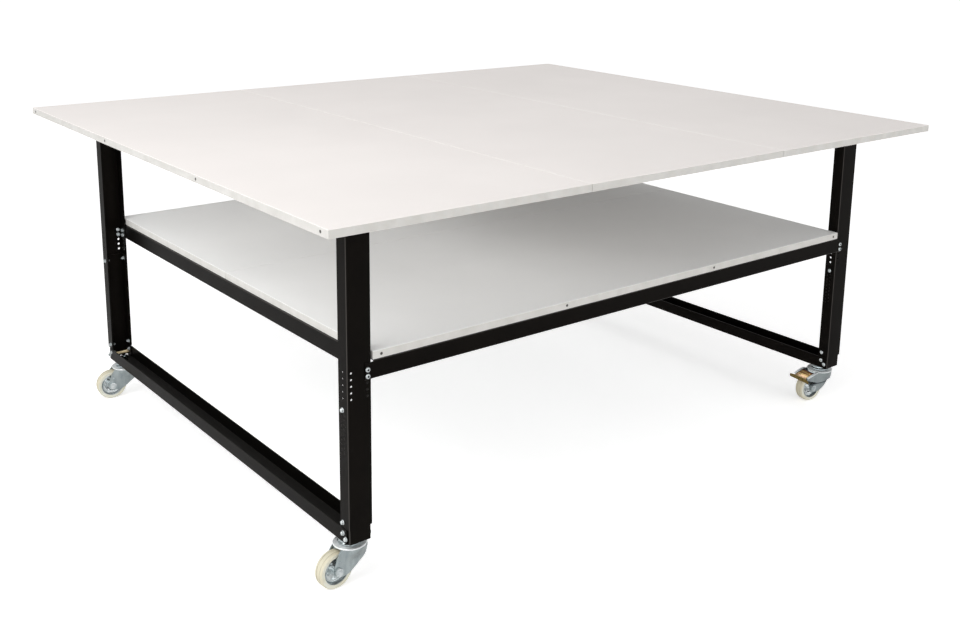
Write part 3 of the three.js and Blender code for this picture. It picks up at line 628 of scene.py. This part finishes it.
def bend_softener():
    """Welds the CAD pieces' loose triangles and shades smoothly over edges below the soft bend's angle."""
    group = bpy.data.node_groups.new("Soft bends", "GeometryNodeTree")
    for way in ("INPUT", "OUTPUT"):
        group.interface.new_socket("Geometry", in_out=way, socket_type="NodeSocketGeometry")
    source = add_node(group, "NodeGroupInput").outputs[0]
    weld = add_node(group, "GeometryNodeMergeByDistance", {"Geometry": source, "Distance": WELD})
    faces = add_node(group, "GeometryNodeSetShadeSmooth", {"Geometry": weld.outputs["Geometry"]})
    angle = add_node(group, "GeometryNodeInputMeshEdgeAngle").outputs["Unsigned Angle"]
    soft = add_node(group, "FunctionNodeCompare", {0: angle, 1: SOFT_BEND}, operation="LESS_THAN")
    shading = {"Geometry": faces.outputs["Geometry"], "Shade Smooth": soft.outputs["Result"]}
    edges = add_node(group, "GeometryNodeSetShadeSmooth", shading, domain="EDGE")
    add_node(group, "NodeGroupOutput", {0: edges.outputs["Geometry"]})
    return group


class TABLE_OT_finishes(Operator):
    """Makes the finishes, puts them on the CAD pieces and softens the steel's bends"""

    bl_idname = "assembly_table.finishes"
    bl_label = "Finishes"

    def execute(self, context):
        finish_materials(context.scene.table_finishes)
        by_slot = dict(
            board="White laminate", frame="Black powder coat", zinc="Caster zinc",
            yellow_zinc="Sleeve zinc", tyre="Cream tread",
        )
        slot_of = {part["node"]: part["material_slot"] for part in frame["record"]["subparts"]}
        soft = bend_softener()
        for name, node in frame["nodes"].items():
            node.data.materials.clear()
            tone = "Bright zinc" if name.startswith("axle") else by_slot[slot_of[name]]
            node.data.materials.append(finish(tone))
            if slot_of[name] == "frame":
                node.modifiers.new("Soft bends", "NODES").node_group = soft
                node.modifiers.new("Flat faces", "WEIGHTED_NORMAL").keep_sharp = True
        return {"FINISHED"}


class TABLE_OT_boards(Operator):
    """Worktop and shelf boards with eased edges, bands and screw heads"""

    bl_idname = "assembly_table.boards"
    bl_label = "Boards"

    def execute(self, context):
        sizes = context.scene.table_fasteners
        band = [0, 0, 0, 1, 0, 0, 0]  # the edge band on the upright strip between the eased edges
        for node in (name for name in frame["nodes"] if "_board_" in name):
            low, high = box(node)
            inset = sizes.board_inset
            slab = eased_slab(low + inset, high - inset, sizes.board_ease, sizes.board_corner)
            face = "Shelf laminate" if node.startswith("shelf") else "White laminate"
            Surfaces().add(slab, slots=band).build(
                f"look_{node}", (face, "Edge band"), "upper_frame", "board", [node], smooth_angle=10
            )
        self.add_screws(sizes)
        return {"FINISHED"}

    def add_screws(self, sizes):
        """Rows of screw heads, a dished profile carried round, along the worktop's and the shelf's edges."""
        places = np.arange(sizes.screw_count) - (sizes.screw_count - 1) / 2
        left, right = box("worktop_board_left"), box("worktop_board_right")
        front, back = box("shelf_board_front"), box("shelf_board_back")
        rows = [
            (left[0][0], left, 0, -1, sizes.worktop_screw_pitch),
            (right[1][0], right, 0, 1, sizes.worktop_screw_pitch),
            (front[0][1], front, 1, -1, sizes.shelf_screw_pitch),
            (back[1][1], back, 1, 1, sizes.shelf_screw_pitch),
        ]
        radius, depth = sizes.screw_radius, sizes.screw_depth
        head = revolved(
            [(radius, -depth), (radius, -depth / 10), (radius * SCREW_IN, 0), (radius / 2, -depth / 5)],
            SCREW_TURNS,
        )
        heads = Surfaces()
        for face, (low, high), axis, sign, pitch in rows:
            for place in places * pitch:
                centre = np.array([0.0, 0.0, (low[2] + high[2]) / 2])
                centre[axis] = face
                centre[1 - axis] = place
                normal = np.zeros(3)
                normal[axis] = sign
                heads.add(placed(head, centre, normal))
        heads.build("board_edge_screws", ["Screw cup"], "upper_frame", "zinc")


def bolt_head(sizes):
    """A hexagon head on a round washer face: two revolved shells."""
    base, height = sizes.washer_height, sizes.head_height
    flange, head = sizes.flange_radius, sizes.head_radius
    washer = revolved([(flange, 0), (flange, base * WASHER_START), (flange * WASHER_IN, base)], BOLT_TURNS)
    shoulder, top = base + height * HEXAGON_START, base + height
    hexagon = revolved([(head, base / 2), (head, shoulder), (head * HEXAGON_IN, top)], 6)
    return [(washer, 0, 0), (hexagon, 0, 0)]


def button_head(sizes):
    """A low round head, its radius falling along a quarter ellipse: one revolved shell."""
    angle = np.linspace(0, np.pi / 2, 6)[:-1]
    dome = np.stack([sizes.flange_radius * np.cos(angle), sizes.button_height * np.sin(angle)], axis=-1)
    return [(revolved(dome, BOLT_TURNS), 0, 0)]


def socket_head(sizes):
    """A domed head whose profile turns down into a six-sided socket, painted dark as shade: one revolved shell."""
    base, height = sizes.washer_height * WASHER_START, sizes.head_height * DOME
    flange, socket = sizes.flange_radius, sizes.socket_radius
    crest = socket * SOCKET_CREST
    angle = np.linspace(0, np.pi / 2, 5)[1:]
    dome = np.stack([crest + (flange - crest) * np.cos(angle), base + height * np.sin(angle)], axis=-1)
    top = base + height
    profile = np.concatenate([
        [(flange, 0), (flange, base)], dome,
        [(socket, top - HAIR), (socket * SOCKET_IN, top - sizes.socket_depth)],
    ])
    # The socket's walls and floor take the second finish: painted shade
    slots = [0] * (len(profile) - 2) + [1]
    return [(revolved(profile, BOLT_TURNS), slots, 1)]


def nut_end(sizes):
    """A hexagon nut on a washer with the bolt's end standing out: three revolved shells."""
    bolt = sizes.head_radius * SHANK
    top = sizes.washer_height + sizes.head_height
    tip = top + sizes.bolt_end
    end = revolved([(bolt, top / 2), (bolt, tip - sizes.tip_ease), (bolt * SHANK_IN, tip)], SCREW_TURNS)
    return [*bolt_head(sizes), (end, 0, 0)]


class TABLE_OT_fasteners(Operator):
    """Bolts and nuts of the legs, rails and feet"""

    bl_idname = "assembly_table.fasteners"
    bl_label = "Fasteners"

    def execute(self, context):
        sizes = context.scene.table_fasteners
        groups = {"upper_frame": Surfaces(), "base": Surfaces()}
        # Dark rings in the open holes: painted shade
        shade_rings = Surfaces()
        for corner in CORNERS:
            self.add_rail_bolts(groups["upper_frame"], sizes, corner)
            self.add_leg_bolts(groups, sizes, corner)
            self.add_hole_shade_rings(shade_rings, sizes, corner)
        shade_rings.build("hole_collars", ["Black powder coat"], "upper_frame", "frame")
        for body, surfaces in groups.items():
            surfaces.build(f"bolts_{body}", ("Bright zinc", "Bolt recess"), body, "zinc")
        return {"FINISHED"}

    def add_rail_bolts(self, surfaces, sizes, corner):
        """Two bolts through each rail's tab and the leg behind it, at the shelf and at the top."""
        side, front, inner_x, _, face_y = self.leg(corner)
        web_x = inner_x + side * sizes.web_inset
        flange_y = face_y - front * sizes.flange_inset
        for level in ("shelf", "top"):
            top = box(f"{level}_rail_front")[1][2]
            for height in top - sizes.rail_drop - np.arange(2) * sizes.rail_pitch:
                web, flange = (web_x, face_y, height), (inner_x, flange_y, height)
                self.pair(surfaces, sizes, socket_head, web, (0, front, 0), sizes.steel, sizes.steel)
                self.pair(surfaces, sizes, bolt_head, flange, (side, 0, 0), sizes.steel, sizes.steel)

    def add_leg_bolts(self, groups, sizes, corner):
        """Lock bolts, lower leg bolts and foot bolts, one in each flange. The lowest holds the sleeve."""
        low, high = box(f"outer_leg_{corner}")
        side, front, _, _, face_y = self.leg(corner)
        foot = box(f"bottom_rail_{'right' if side > 0 else 'left'}")[0][2]
        inside = 2 * sizes.steel + sizes.slide_gap
        places = [
            ("base", sizes.flange_inset, sizes.lock_height, inside),
            ("upper_frame", sizes.lower_inset, low[2] + sizes.lower_rise, inside),
            ("base", sizes.foot_inset_high, foot + sizes.foot_rise_high, inside),
            ("base", sizes.foot_inset_low, foot + sizes.foot_rise_low, None),
        ]
        for body, inset, height, grip in places:
            for x, way in ((low[0], -1), (high[0], 1)):
                face = (x, face_y - front * inset, height)
                head = button_head if way != side else bolt_head
                self.pair(groups[body], sizes, head, face, (way, 0, 0), 0, grip)

    def add_hole_shade_rings(self, surfaces, sizes, corner):
        """A dark ring in each open hole of the leg's outer columns, narrowing the hole and painting its shade: a
        rectangle carried round, below its face.
        """
        side, front, _, outer_x, face_y = self.leg(corner)
        ends = (-sizes.steel + sizes.shade_ring_drop, -sizes.shade_ring_drop)
        section = [(radius, end) for end in ends for radius in (sizes.shade_ring_bore, sizes.shade_ring_radius)]
        ring = revolved([section[0], section[1], section[3], section[2]], SHADE_RING_TURNS)
        rail = box("shelf_rail_front")[1][2]
        for height in rail - sizes.rail_drop - np.arange(sizes.open_holes) * sizes.rail_pitch:
            web = (outer_x - side * sizes.web_inset, face_y, height)
            flange = (outer_x, face_y - front * sizes.flange_inset, height)
            surfaces.add(placed(ring, web, (0, front, 0)), wrap_rows=True)
            surfaces.add(placed(ring, flange, (side, 0, 0)), wrap_rows=True)

    def leg(self, corner):
        """Which way a leg lies along X and Y, and where its inner, outer and front faces are."""
        low, high = box(f"outer_leg_{corner}")
        side, front = (1 if corner.endswith("right") else -1), (1 if corner.startswith("back") else -1)
        inner_x, outer_x = (low[0], high[0]) if side > 0 else (high[0], low[0])
        return side, front, inner_x, outer_x, high[1] if front > 0 else low[1]

    def pair(self, surfaces, sizes, head, face, axis, rise, grip):
        """A head standing over a face along an axis and, with a grip, its nut behind the gripped sheets."""
        face, axis = np.array(face), np.array(axis, dtype=float)
        seats = [(head(sizes), rise + sizes.clearance, axis)]
        if grip is not None:
            seats.append((nut_end(sizes), -grip - sizes.clearance, -axis))
        for shells, height, way in seats:
            for grid, slots, cap_slot in shells:
                surfaces.add(placed(grid, face + axis * height, way), slots=slots, cap_slot=cap_slot)


def spline(points, places):
    """A smooth curve through points (uniform Catmull-Rom), at places from 0 to 1."""
    points = np.asarray(points, dtype=float)
    last = len(points) - 1
    scaled = np.clip(places, 0, 1) * last
    index = np.minimum(scaled.astype(int), last - 1)
    t = (scaled - index)[..., None]
    p0 = points[np.maximum(index - 1, 0)]
    p1, p2 = points[index], points[index + 1]
    p3 = points[np.minimum(index + 2, last)]
    v0, v1 = (p2 - p0) / 2, (p3 - p1) / 2
    p0_weight = 2 * t**3 - 3 * t**2 + 1
    return p0_weight * p1 + (1 - p0_weight) * p2 + (t**3 - 2 * t**2 + t) * v0 + (t**3 - t**2) * v1


class Caster:
    """Where one caster stands: its stem, which way it trails and its axle."""

    def __init__(self, corner):
        self.corner = corner
        swivel, wheel = JOINTS[f"swivel_turn_{corner}"], JOINTS[f"wheel_spin_{corner}"]
        self.stem = np.array([*swivel["pos_m"][:2], 0.0])
        self.axle = np.array(wheel["pos_m"])
        self.across = np.array(wheel["axis"])
        behind = self.axle - self.stem
        behind[2] = 0
        self.trail = float(np.linalg.norm(behind))
        self.behind = behind / self.trail
        press = JOINTS.get(f"pedal_press_{corner}")
        self.brake = press is not None
        if self.brake:
            pin = np.array(press["pos_m"])
            self.pin = np.array([np.dot(pin - self.stem, self.behind), pin[2]])

    def place(self, grid):
        """Points of (distance behind the stem, distance across, height) in the table's frame."""
        back, across, height = grid[..., 0:1], grid[..., 1:2], grid[..., 2:3]
        return self.stem + back * self.behind + across * self.across + height * np.array([0, 0, 1])

    def build(self, surfaces, piece, materials, body, slot, along=None):
        """One of the caster's pieces, in place of its CAD node."""
        node = f"{piece}_{self.corner}"
        surfaces.build(f"look_{node}", materials, body, slot, [node], along=along)


def pressed_sheet(sizes, inner, flat_height, first, last, grid):
    """Outer and inner skin of a sheet between two edge curves.

    Above the flat height it swells, by a smooth step of height, from its flat place to the crown's circle.
    """
    along, over = (np.linspace(0, 1, points) for points in grid)
    start, end = spline(first, along)[:, None, :], spline(last, along)[:, None, :]
    edge = start + (end - start) * over[None, :, None]
    rise = np.clip((edge[..., 1] - flat_height) / (sizes.crown_top - flat_height), 0, 1)
    rise = rise * rise * (3 - 2 * rise)
    reach = sizes.crown_radius - sizes.sheet_inset
    circle = np.sqrt(np.maximum(0, reach**2 - edge[..., 0] ** 2)) - sizes.sheet
    place = inner + rise * np.maximum(0, circle - inner)
    skins = (np.stack([edge[..., 0], skin, edge[..., 1]], axis=-1) for skin in (place + sizes.sheet, place))
    return tuple(skins)


def swept(path, half_width, half_height):
    """A flat bar along a path in the caster's middle plane, with a rounded outline square to it."""
    tangent = np.gradient(path, axis=0)
    tangent /= np.linalg.norm(tangent, axis=1)[:, None]
    normal = np.stack([-tangent[:, 1], tangent[:, 0]], axis=-1)
    outline = rounded_outline(1, half_height, half_height * BAR_ROUND, 4)
    across = np.sign(outline[:, 0]) * (half_width[:, None] - (1 - np.abs(outline[:, 0])))
    back = path[:, 0:1] + normal[:, 0:1] * outline[:, 1]
    height = path[:, 1:2] + normal[:, 1:2] * outline[:, 1]
    return np.stack([back, across, height], axis=-1)


class TABLE_OT_casters(Operator):
    """Casters: tyres, pressed rims, swivel heads, forks and brake pedals"""

    bl_idname = "assembly_table.casters"
    bl_label = "Casters"

    def execute(self, context):
        sizes = context.scene.table_casters
        for corner in CORNERS:
            caster = Caster(corner)
            self.add_tyre(caster, sizes)
            self.add_rim(caster, sizes)
            self.add_head(caster, sizes)
            self.add_fork(caster, sizes)
            if caster.brake:
                self.add_pedal(caster, sizes)
        return {"FINISHED"}

    def add_tyre(self, caster, sizes):
        """A ring whose tread falls by the sixth power towards its shoulders, with two bell-shaped lines."""
        low, high = box(f"tyre_{caster.corner}")
        rim = box(f"wheel_rim_{caster.corner}")
        radius = (high[2] - low[2]) / 2
        bed = (rim[1][2] - rim[0][2]) / 2 + sizes.tyre_bed_gap
        half = sizes.tyre_width / 2
        across = np.linspace(-1, 1, TREAD_POINTS)
        line = np.exp(-(((np.abs(across) * half - sizes.groove_place) / sizes.groove_width) ** 2))
        tread = radius - sizes.tread_fall * np.abs(across) ** 6 - sizes.groove_depth * line
        shoulder = radius - sizes.wall_height
        lap = bed - sizes.wall_lap
        inside = sizes.bed_half + sizes.tyre_bed_gap
        wall = np.array([
            (shoulder, half), (lap + sizes.wall_ease, half), (lap, half - sizes.wall_step),
            (lap, inside), (bed, inside),
        ])
        profile = np.concatenate([np.stack([tread, across * half], axis=-1), wall, wall[::-1] * (1, -1)])
        # Slot 2 paints shade into the groove bands
        slots = [*np.where((line[1:] + line[:-1]) / 2 > 0.5, 2, 0)] + [1] * 5 + [0] + [1] * 5
        ring = placed(revolved(profile, WHEEL_TURNS), caster.axle, caster.across)
        tyre = Surfaces().add(ring, wrap_rows=True, slots=slots)
        materials = ("Cream tread", "Pale tyre wall", "Tread line")
        caster.build(tyre, "tyre", materials, f"wheel_{caster.corner}", "tyre")

    def add_rim(self, caster, sizes):
        """A turned disc with a hub, a web ring raised by a squared sine, bell-shaped dimples and a lip."""
        low, high = box(f"wheel_rim_{caster.corner}")
        radius = (high[2] - low[2]) / 2
        hub, ease = sizes.hub_radius, sizes.rim_ease
        foot = hub + sizes.hub_foot
        web = np.linspace(0, 1, WEB_POINTS)
        ring = sizes.dish * np.sin(np.pi * web) ** 2 * (web < RING_END)
        lip = sizes.bed_half * np.clip(web - RIM_TURN, 0, 1) / (1 - RIM_TURN)
        web_height = np.minimum(sizes.web_half + ring + lip, sizes.bed_half)
        half = np.concatenate([
            [(sizes.rim_bore, sizes.hub_half), (hub - ease, sizes.hub_half), (hub, sizes.hub_half - ease)],
            [(hub + sizes.hub_taper, sizes.web_half + sizes.hub_rise)],
            np.stack([foot + web * (radius - sizes.rim_lip - foot), web_height], axis=-1),
            [(radius - ease, sizes.bed_half), (radius, sizes.bed_half - sizes.lip_ease)],
        ])
        disc = revolved(np.concatenate([half * (1, -1), half[::-1]]), WHEEL_TURNS)
        angle = np.linspace(0, 2 * np.pi, WHEEL_TURNS, endpoint=False)
        reach = np.linalg.norm(disc[..., :2], axis=-1)
        pitch = 2 * np.pi / sizes.dimples
        arc = ((angle + pitch / 2) % pitch - pitch / 2) * reach
        spot = np.exp(-(arc**2 + (reach - sizes.dimple_ring) ** 2) / sizes.dimple_radius**2)
        disc[..., 2] -= np.sign(disc[..., 2]) * sizes.dimple_depth * spot
        rim = Surfaces().add(placed(disc, caster.axle, caster.across), wrap_rows=True)
        caster.build(rim, "wheel_rim", ["Rim zinc"], f"wheel_{caster.corner}", "zinc")

    def add_head(self, caster, sizes):
        """The fixed swivel race: a turned profile with a round bead and a neck."""
        low, high = box(f"swivel_head_{caster.corner}")
        bore, bead, neck = sizes.stem_bore, sizes.head_radius, sizes.neck_radius
        base, top = low[2], high[2]
        profile = np.concatenate([
            [(bore, base)], offset((bead, base), HEAD_BEAD), offset((neck, base), HEAD_NECK),
            offset((neck, top), HEAD_TOP), [(bore, top)],
        ])
        head = Surfaces().add(revolved(profile, HEAD_TURNS) + caster.stem, wrap_rows=True)
        caster.build(head, "swivel_head", ["Caster zinc"], "base", "zinc")

    def add_fork(self, caster, sizes):
        """A pressed fork: a turned crown, sheets between their edge curves, and a spot or a lip each side."""
        fork = Surfaces()
        low, top, edge = sizes.crown_top - sizes.crown_height, sizes.crown_top, sizes.crown_radius
        crown = np.concatenate([
            [(sizes.stem_bore, low)], offset((edge, low), CROWN_FOOT),
            offset((edge, top), CROWN_TOP), [(sizes.stem_bore, top)],
        ])
        # The crown takes the pale zinc: painted highlight
        fork.add(revolved(crown, CROWN_TURNS) + caster.stem, wrap_rows=True, slots=1)
        sheets = self.braked_sheets(caster, sizes) if caster.brake else [self.plain_sheet(caster, sizes)]
        for side in (-1, 1):
            turn = np.array([1, side, 1])
            for outer, inner in sheets:
                fork.add_sheet(caster.place(outer * turn), caster.place(inner * turn))
            if not caster.brake:
                self.add_spot(fork, caster, sizes, side)
        if caster.brake:
            self.add_lips(fork, caster, sizes)
        # Shares of painted shade under the skirt, carried as the along attribute
        skirt_shade = self.skirt_shade(fork, caster, sizes)
        caster.build(fork, "fork", ["Fork zinc", "Lip zinc"], f"swivel_{caster.corner}", "zinc", skirt_shade)

    def add_spot(self, fork, caster, sizes, side):
        """A round spot pressed out of an arm above the axle: a low profile carried round."""
        radius, rise = sizes.rivet_radius, sizes.rivet_height
        spot = [(radius, -sizes.rivet_root), (radius, rise * SPOT_START), (radius * SPOT_IN, rise)]
        back, face = caster.trail - sizes.rivet_lead, sizes.arm_inner + sizes.sheet
        centre = caster.place(np.array([back, side * face, caster.axle[2] + sizes.rivet_rise]))
        fork.add(placed(revolved(spot, KNUCKLE_TURNS), centre, caster.across * side))

    def skirt_shade(self, fork, caster, sizes):
        """One on every point, falling to nought where a braked fork's arm goes in under its skirt; there the
        fork's finish paints shade.
        """
        points = np.concatenate(fork.points)
        if not caster.brake:
            return np.ones(len(points))
        across = np.abs((points - caster.stem) @ caster.across)
        foot = self.skirt_edges(caster, sizes)[1][1][1]
        depth = np.clip((foot - points[:, 2]) / sizes.skirt_shade_depth, 0, 1)
        return np.where(across < sizes.cheek_inner + HAIR, depth, 1)

    def plain_sheet(self, caster, sizes):
        """The arm of a fork without a brake: from the crown's edge down to a rounded end round the axle."""
        edge, top = sizes.crown_radius, sizes.crown_top
        axle = (caster.trail, caster.axle[2])
        front = np.concatenate([offset((-edge, top), ARM_FRONT_TOP), offset(axle, ARM_FRONT)])
        rear = np.concatenate([offset((edge, top), ARM_REAR_TOP), offset(axle, ARM_REAR)])
        return pressed_sheet(sizes, sizes.arm_inner, axle[1] + sizes.flat_rise, front, rear, ARM_GRID)

    def skirt_edges(self, caster, sizes):
        """Top and bottom edge of the braked fork's skirt, from the crown back to the pedal's foot bar."""
        pin_back, pin_height = caster.pin
        foot = caster.axle[2] + sizes.skirt_rise
        eye_top = pin_height + sizes.eye_rise
        rear = pin_back + sizes.cheek_rear
        rear_top = eye_top - sizes.cheek_rear * math.tan(sizes.pedal_slope)
        upper = [*offset((0, sizes.crown_top), SKIRT_TOP), (pin_back, eye_top), (rear, rear_top)]
        lower = [
            *offset((0, foot), SKIRT_FOOT), *offset((pin_back, foot), SKIRT_NOTCH),
            (rear, rear_top - sizes.pedal_bar_height),
        ]
        return np.array(upper), np.array(lower)

    def braked_sheets(self, caster, sizes):
        """The braked fork's skirt, the ledge under it and the narrower arm down to the axle."""
        upper, lower = self.skirt_edges(caster, sizes)
        foot, low = lower[1][1], sizes.crown_top - sizes.crown_height
        skirt = pressed_sheet(sizes, sizes.cheek_inner, foot, upper, lower, SKIRT_GRID)
        axle = (caster.trail, caster.axle[2])
        front, rear = offset(axle, BRAKED_FRONT), offset(axle, BRAKED_REAR)
        arm = pressed_sheet(sizes, sizes.arm_inner, low, front, rear, BRAKED_GRID)
        edge, inset = sizes.crown_radius, sizes.ledge_inset
        back = np.linspace(-edge / 3, edge - inset, LEDGE_GRID[0])[:, None]
        over = np.linspace(sizes.arm_inner + inset, sizes.cheek_inner + inset, LEDGE_GRID[1])[None, :]
        heights = (foot + inset + sizes.ledge_sheet, foot + inset)
        level = [np.stack(np.broadcast_arrays(back, over, height), axis=-1) for height in heights]
        return [skirt, arm, tuple(level)]

    def add_lips(self, fork, caster, sizes):
        """A rounded lip turned out along the top edge of each cheek."""
        upper, _ = self.skirt_edges(caster, sizes)
        path = spline(upper, np.linspace(CHEEK_LIP_FROM, 1, LIP_POINTS)) - np.array([0, sizes.lip_half])
        half = np.full(len(path), sizes.cheek_lip / 2)
        for side in (-1, 1):
            lip = swept(path, half, sizes.lip_half)
            lip[..., 1] += side * (sizes.cheek_inner + sizes.cheek_lip / 2)
            # The lips take the pale zinc: painted highlight
            fork.add(caster.place(lip), slots=1, cap_slot=1)

    def add_pedal(self, caster, sizes):
        """A plate sloping down from the pin and bent round an arc into a wider foot bar, with two rings."""
        pedal = Surfaces()
        half_sheet = sizes.pedal_sheet / 2
        level = sizes.knuckle_radius - half_sheet
        bar_back = sizes.pedal_length + half_sheet
        bend = sizes.pedal_bend
        flat = bar_back - bend
        turn = np.linspace(0, np.pi / 2, BEND_POINTS)
        plate = np.stack([np.linspace(0, flat, PLATE_POINTS), np.full(PLATE_POINTS, level)], axis=-1)
        corner = np.stack([flat + bend * np.sin(turn), level - bend + bend * np.cos(turn)], axis=-1)
        drop = np.array([[bar_back, sizes.knuckle_radius - sizes.pedal_bar_height]])
        path = np.concatenate([plate, corner[1:], drop])
        share = np.clip((path[:, 0] - (bar_back - sizes.pedal_neck)) / sizes.pedal_flare, 0, 1)
        half_width = sizes.pedal_half + (sizes.pedal_bar_half - sizes.pedal_half) * share
        shells = [swept(path, half_width, half_sheet)]
        bore, radius, end = sizes.knuckle_bore, sizes.knuckle_radius, sizes.knuckle_length
        ring = [(bore, 0), (radius, 0), (radius, end), (bore, end)]
        for side in (-1, 1):
            knuckle = revolved(ring, KNUCKLE_TURNS)[..., [0, 2, 1]]
            knuckle[..., 1] = side * (sizes.pedal_half - knuckle[..., 1])
            shells.append(knuckle)
        along = [np.clip(grid[..., 0] / bar_back, 0, 1) for grid in shells]
        slope = sizes.pedal_slope
        for index, grid in enumerate(shells):
            back = grid[..., 0] * math.cos(slope) + grid[..., 2] * math.sin(slope)
            height = grid[..., 2] * math.cos(slope) - grid[..., 0] * math.sin(slope)
            turned = np.stack([caster.pin[0] + back, grid[..., 1], caster.pin[1] + height], axis=-1)
            pedal.add(caster.place(turned), wrap_rows=index > 0)
        along = np.concatenate([part.ravel() for part in along])
        caster.build(pedal, "brake_pedal", ["Yellow zinc"], f"pedal_{caster.corner}", "yellow_zinc", along)


class TABLE_OT_stage(Operator):
    """Camera, floor, backdrop and light"""

    bl_idname = "assembly_table.stage"
    bl_label = "Studio"

    def execute(self, context):
        stage = context.scene.table_stage
        self.add_camera(context, stage)
        self.add_floor(context, stage)
        self.add_lights(context, stage)
        context.scene.view_settings.view_transform = "Standard"
        return {"FINISHED"}

    def add_camera(self, context, stage):
        """A camera turned by azimuth, pitch and roll, with the picture's view axis as its shift."""
        data = bpy.data.cameras.new("Camera")
        data.sensor_width = SENSOR_WIDTH
        data.lens = stage.focal_pixels / IMAGE_WIDTH * SENSOR_WIDTH
        data.shift_x = (IMAGE_WIDTH / 2 - stage.centre_x) / IMAGE_WIDTH
        data.shift_y = (stage.centre_y - IMAGE_HEIGHT / 2) / IMAGE_WIDTH
        camera = bpy.data.objects.new("Camera", data)
        turn = (
            Matrix.Rotation(stage.azimuth, 4, "Z")
            @ Matrix.Rotation(math.pi / 2 - stage.pitch, 4, "X")
            @ Matrix.Rotation(stage.roll, 4, "Z")
        )
        camera.matrix_world = Matrix.Translation(stage.place) @ turn
        context.scene.collection.objects.link(camera)
        context.scene.camera = camera

    def add_floor(self, context, stage):
        """A wide pale floor that keeps the shadow."""
        size = stage.floor_half
        mesh = bpy.data.meshes.new("Floor")
        corners = [(-size, -size, 0), (size, -size, 0), (size, size, 0), (-size, size, 0)]
        mesh.from_pydata(corners, [], [(0, 1, 2, 3)])
        floor = bpy.data.objects.new("Floor", mesh)
        context.scene.collection.objects.link(floor)
        pale = Shader("Pale floor", 0, 0.9, 0.1)
        seen = pale.node("LightPath").outputs["Is Camera Ray"]
        lift = pale.node("Math", {0: seen, 1: stage.floor_lift}, operation="MULTIPLY").outputs[0]
        pale.give({"Base Color": (*[stage.floor_tone] * 3, 1), "Emission Strength": lift})
        pale.give({"Emission Color": (1, 1, 1, 1)})
        mesh.materials.append(pale.material)

    def add_lights(self, context, stage):
        """A sky that falls by a smooth step from horizon to overhead and leans one way, and three lamps."""
        world = bpy.data.worlds.new("Studio")
        context.scene.world = world
        world.use_nodes = True
        tree = world.node_tree
        way = add_node(tree, "ShaderNodeTexCoord").outputs["Generated"]
        height = add_node(tree, "ShaderNodeSeparateXYZ", {"Vector": way}).outputs["Z"]
        band = {
            "Value": height, "From Max": stage.band_top, "To Min": stage.horizon, "To Max": stage.zenith,
        }
        sky = add_node(tree, "ShaderNodeMapRange", band, interpolation_type="SMOOTHSTEP").outputs["Result"]
        tilt = add_node(tree, "ShaderNodeVectorMath", {0: way, 1: stage.lean}, operation="DOT_PRODUCT")
        sums = {0: sky, 1: tilt.outputs["Value"], 2: sky}
        leaning = add_node(tree, "ShaderNodeMath", sums, operation="MULTIPLY_ADD").outputs[0]
        seen = add_node(tree, "ShaderNodeLightPath").outputs["Is Camera Ray"]
        strength = add_node(tree, "ShaderNodeMix", {"Factor": seen, "A": leaning, "B": 1})
        background = tree.nodes["Background"].inputs
        set_input(tree, background["Color"], (1, 1, 1, 1))
        set_input(tree, background["Strength"], strength.outputs["Result"])
        middle = Vector((0, 0, 0.5))
        below = Vector(stage.shelf_place) - Vector((0, 0, 1))
        key, rim = (stage.key_size, stage.key_size), (stage.rim_size, stage.rim_size)
        shelf = (stage.shelf_width, stage.shelf_depth)
        self.add_lamp(context, "Key light", stage.key_place, middle, key, stage.key_power)
        self.add_lamp(context, "Rim light", stage.rim_place, middle, rim, stage.rim_power)
        self.add_lamp(context, "Shelf light", stage.shelf_place, below, shelf, stage.shelf_power)

    def add_lamp(self, context, name, place, target, sides, power):
        """A rectangular lamp, out of the camera's sight, turned towards a target."""
        data = bpy.data.lights.new(name, "AREA")
        data.shape = "RECTANGLE"
        data.size, data.size_y = sides
        data.energy = power
        lamp = bpy.data.objects.new(name, data)
        lamp.location = place
        lamp.rotation_euler = (target - Vector(place)).to_track_quat("-Z", "Y").to_euler()
        lamp.visible_camera = False
        context.scene.collection.objects.link(lamp)


class TABLE_PT_panel(Panel):
    """Lists the table's pieces and their settings"""

    bl_label = "Assembly Table"
    bl_idname = "TABLE_PT_panel"
    bl_space_type = "VIEW_3D"
    bl_region_type = "UI"
    bl_category = "Table"

    def draw(self, context):
        layout = self.layout
        for operator in OPERATORS:
            layout.operator(operator.bl_idname)
        for name, group in GROUPS.items():
            column = layout.column()
            for setting in group.__annotations__:
                column.prop(getattr(context.scene, name), setting)


GROUPS = {
    "table_finishes": TableFinishes,
    "table_fasteners": TableFasteners,
    "table_casters": TableCasters,
    "table_stage": TableStage,
}
OPERATORS = (TABLE_OT_finishes, TABLE_OT_boards, TABLE_OT_fasteners, TABLE_OT_casters, TABLE_OT_stage)


def register():
    for name, group in GROUPS.items():
        bpy.utils.register_class(group)
        setattr(bpy.types.Scene, name, PointerProperty(type=group))
    for operator in OPERATORS:
        bpy.utils.register_class(operator)
    bpy.utils.register_class(TABLE_PT_panel)


def unregister():
    bpy.utils.unregister_class(TABLE_PT_panel)
    for operator in reversed(OPERATORS):
        bpy.utils.unregister_class(operator)
    for name, group in reversed(GROUPS.items()):
        delattr(bpy.types.Scene, name)
        bpy.utils.unregister_class(group)


def main():
    """Builds every piece in order."""
    register()
    bpy.ops.assembly_table.finishes()
    bpy.ops.assembly_table.boards()
    bpy.ops.assembly_table.fasteners()
    bpy.ops.assembly_table.casters()
    bpy.ops.assembly_table.stage()


if __name__ == "__main__":
    main()
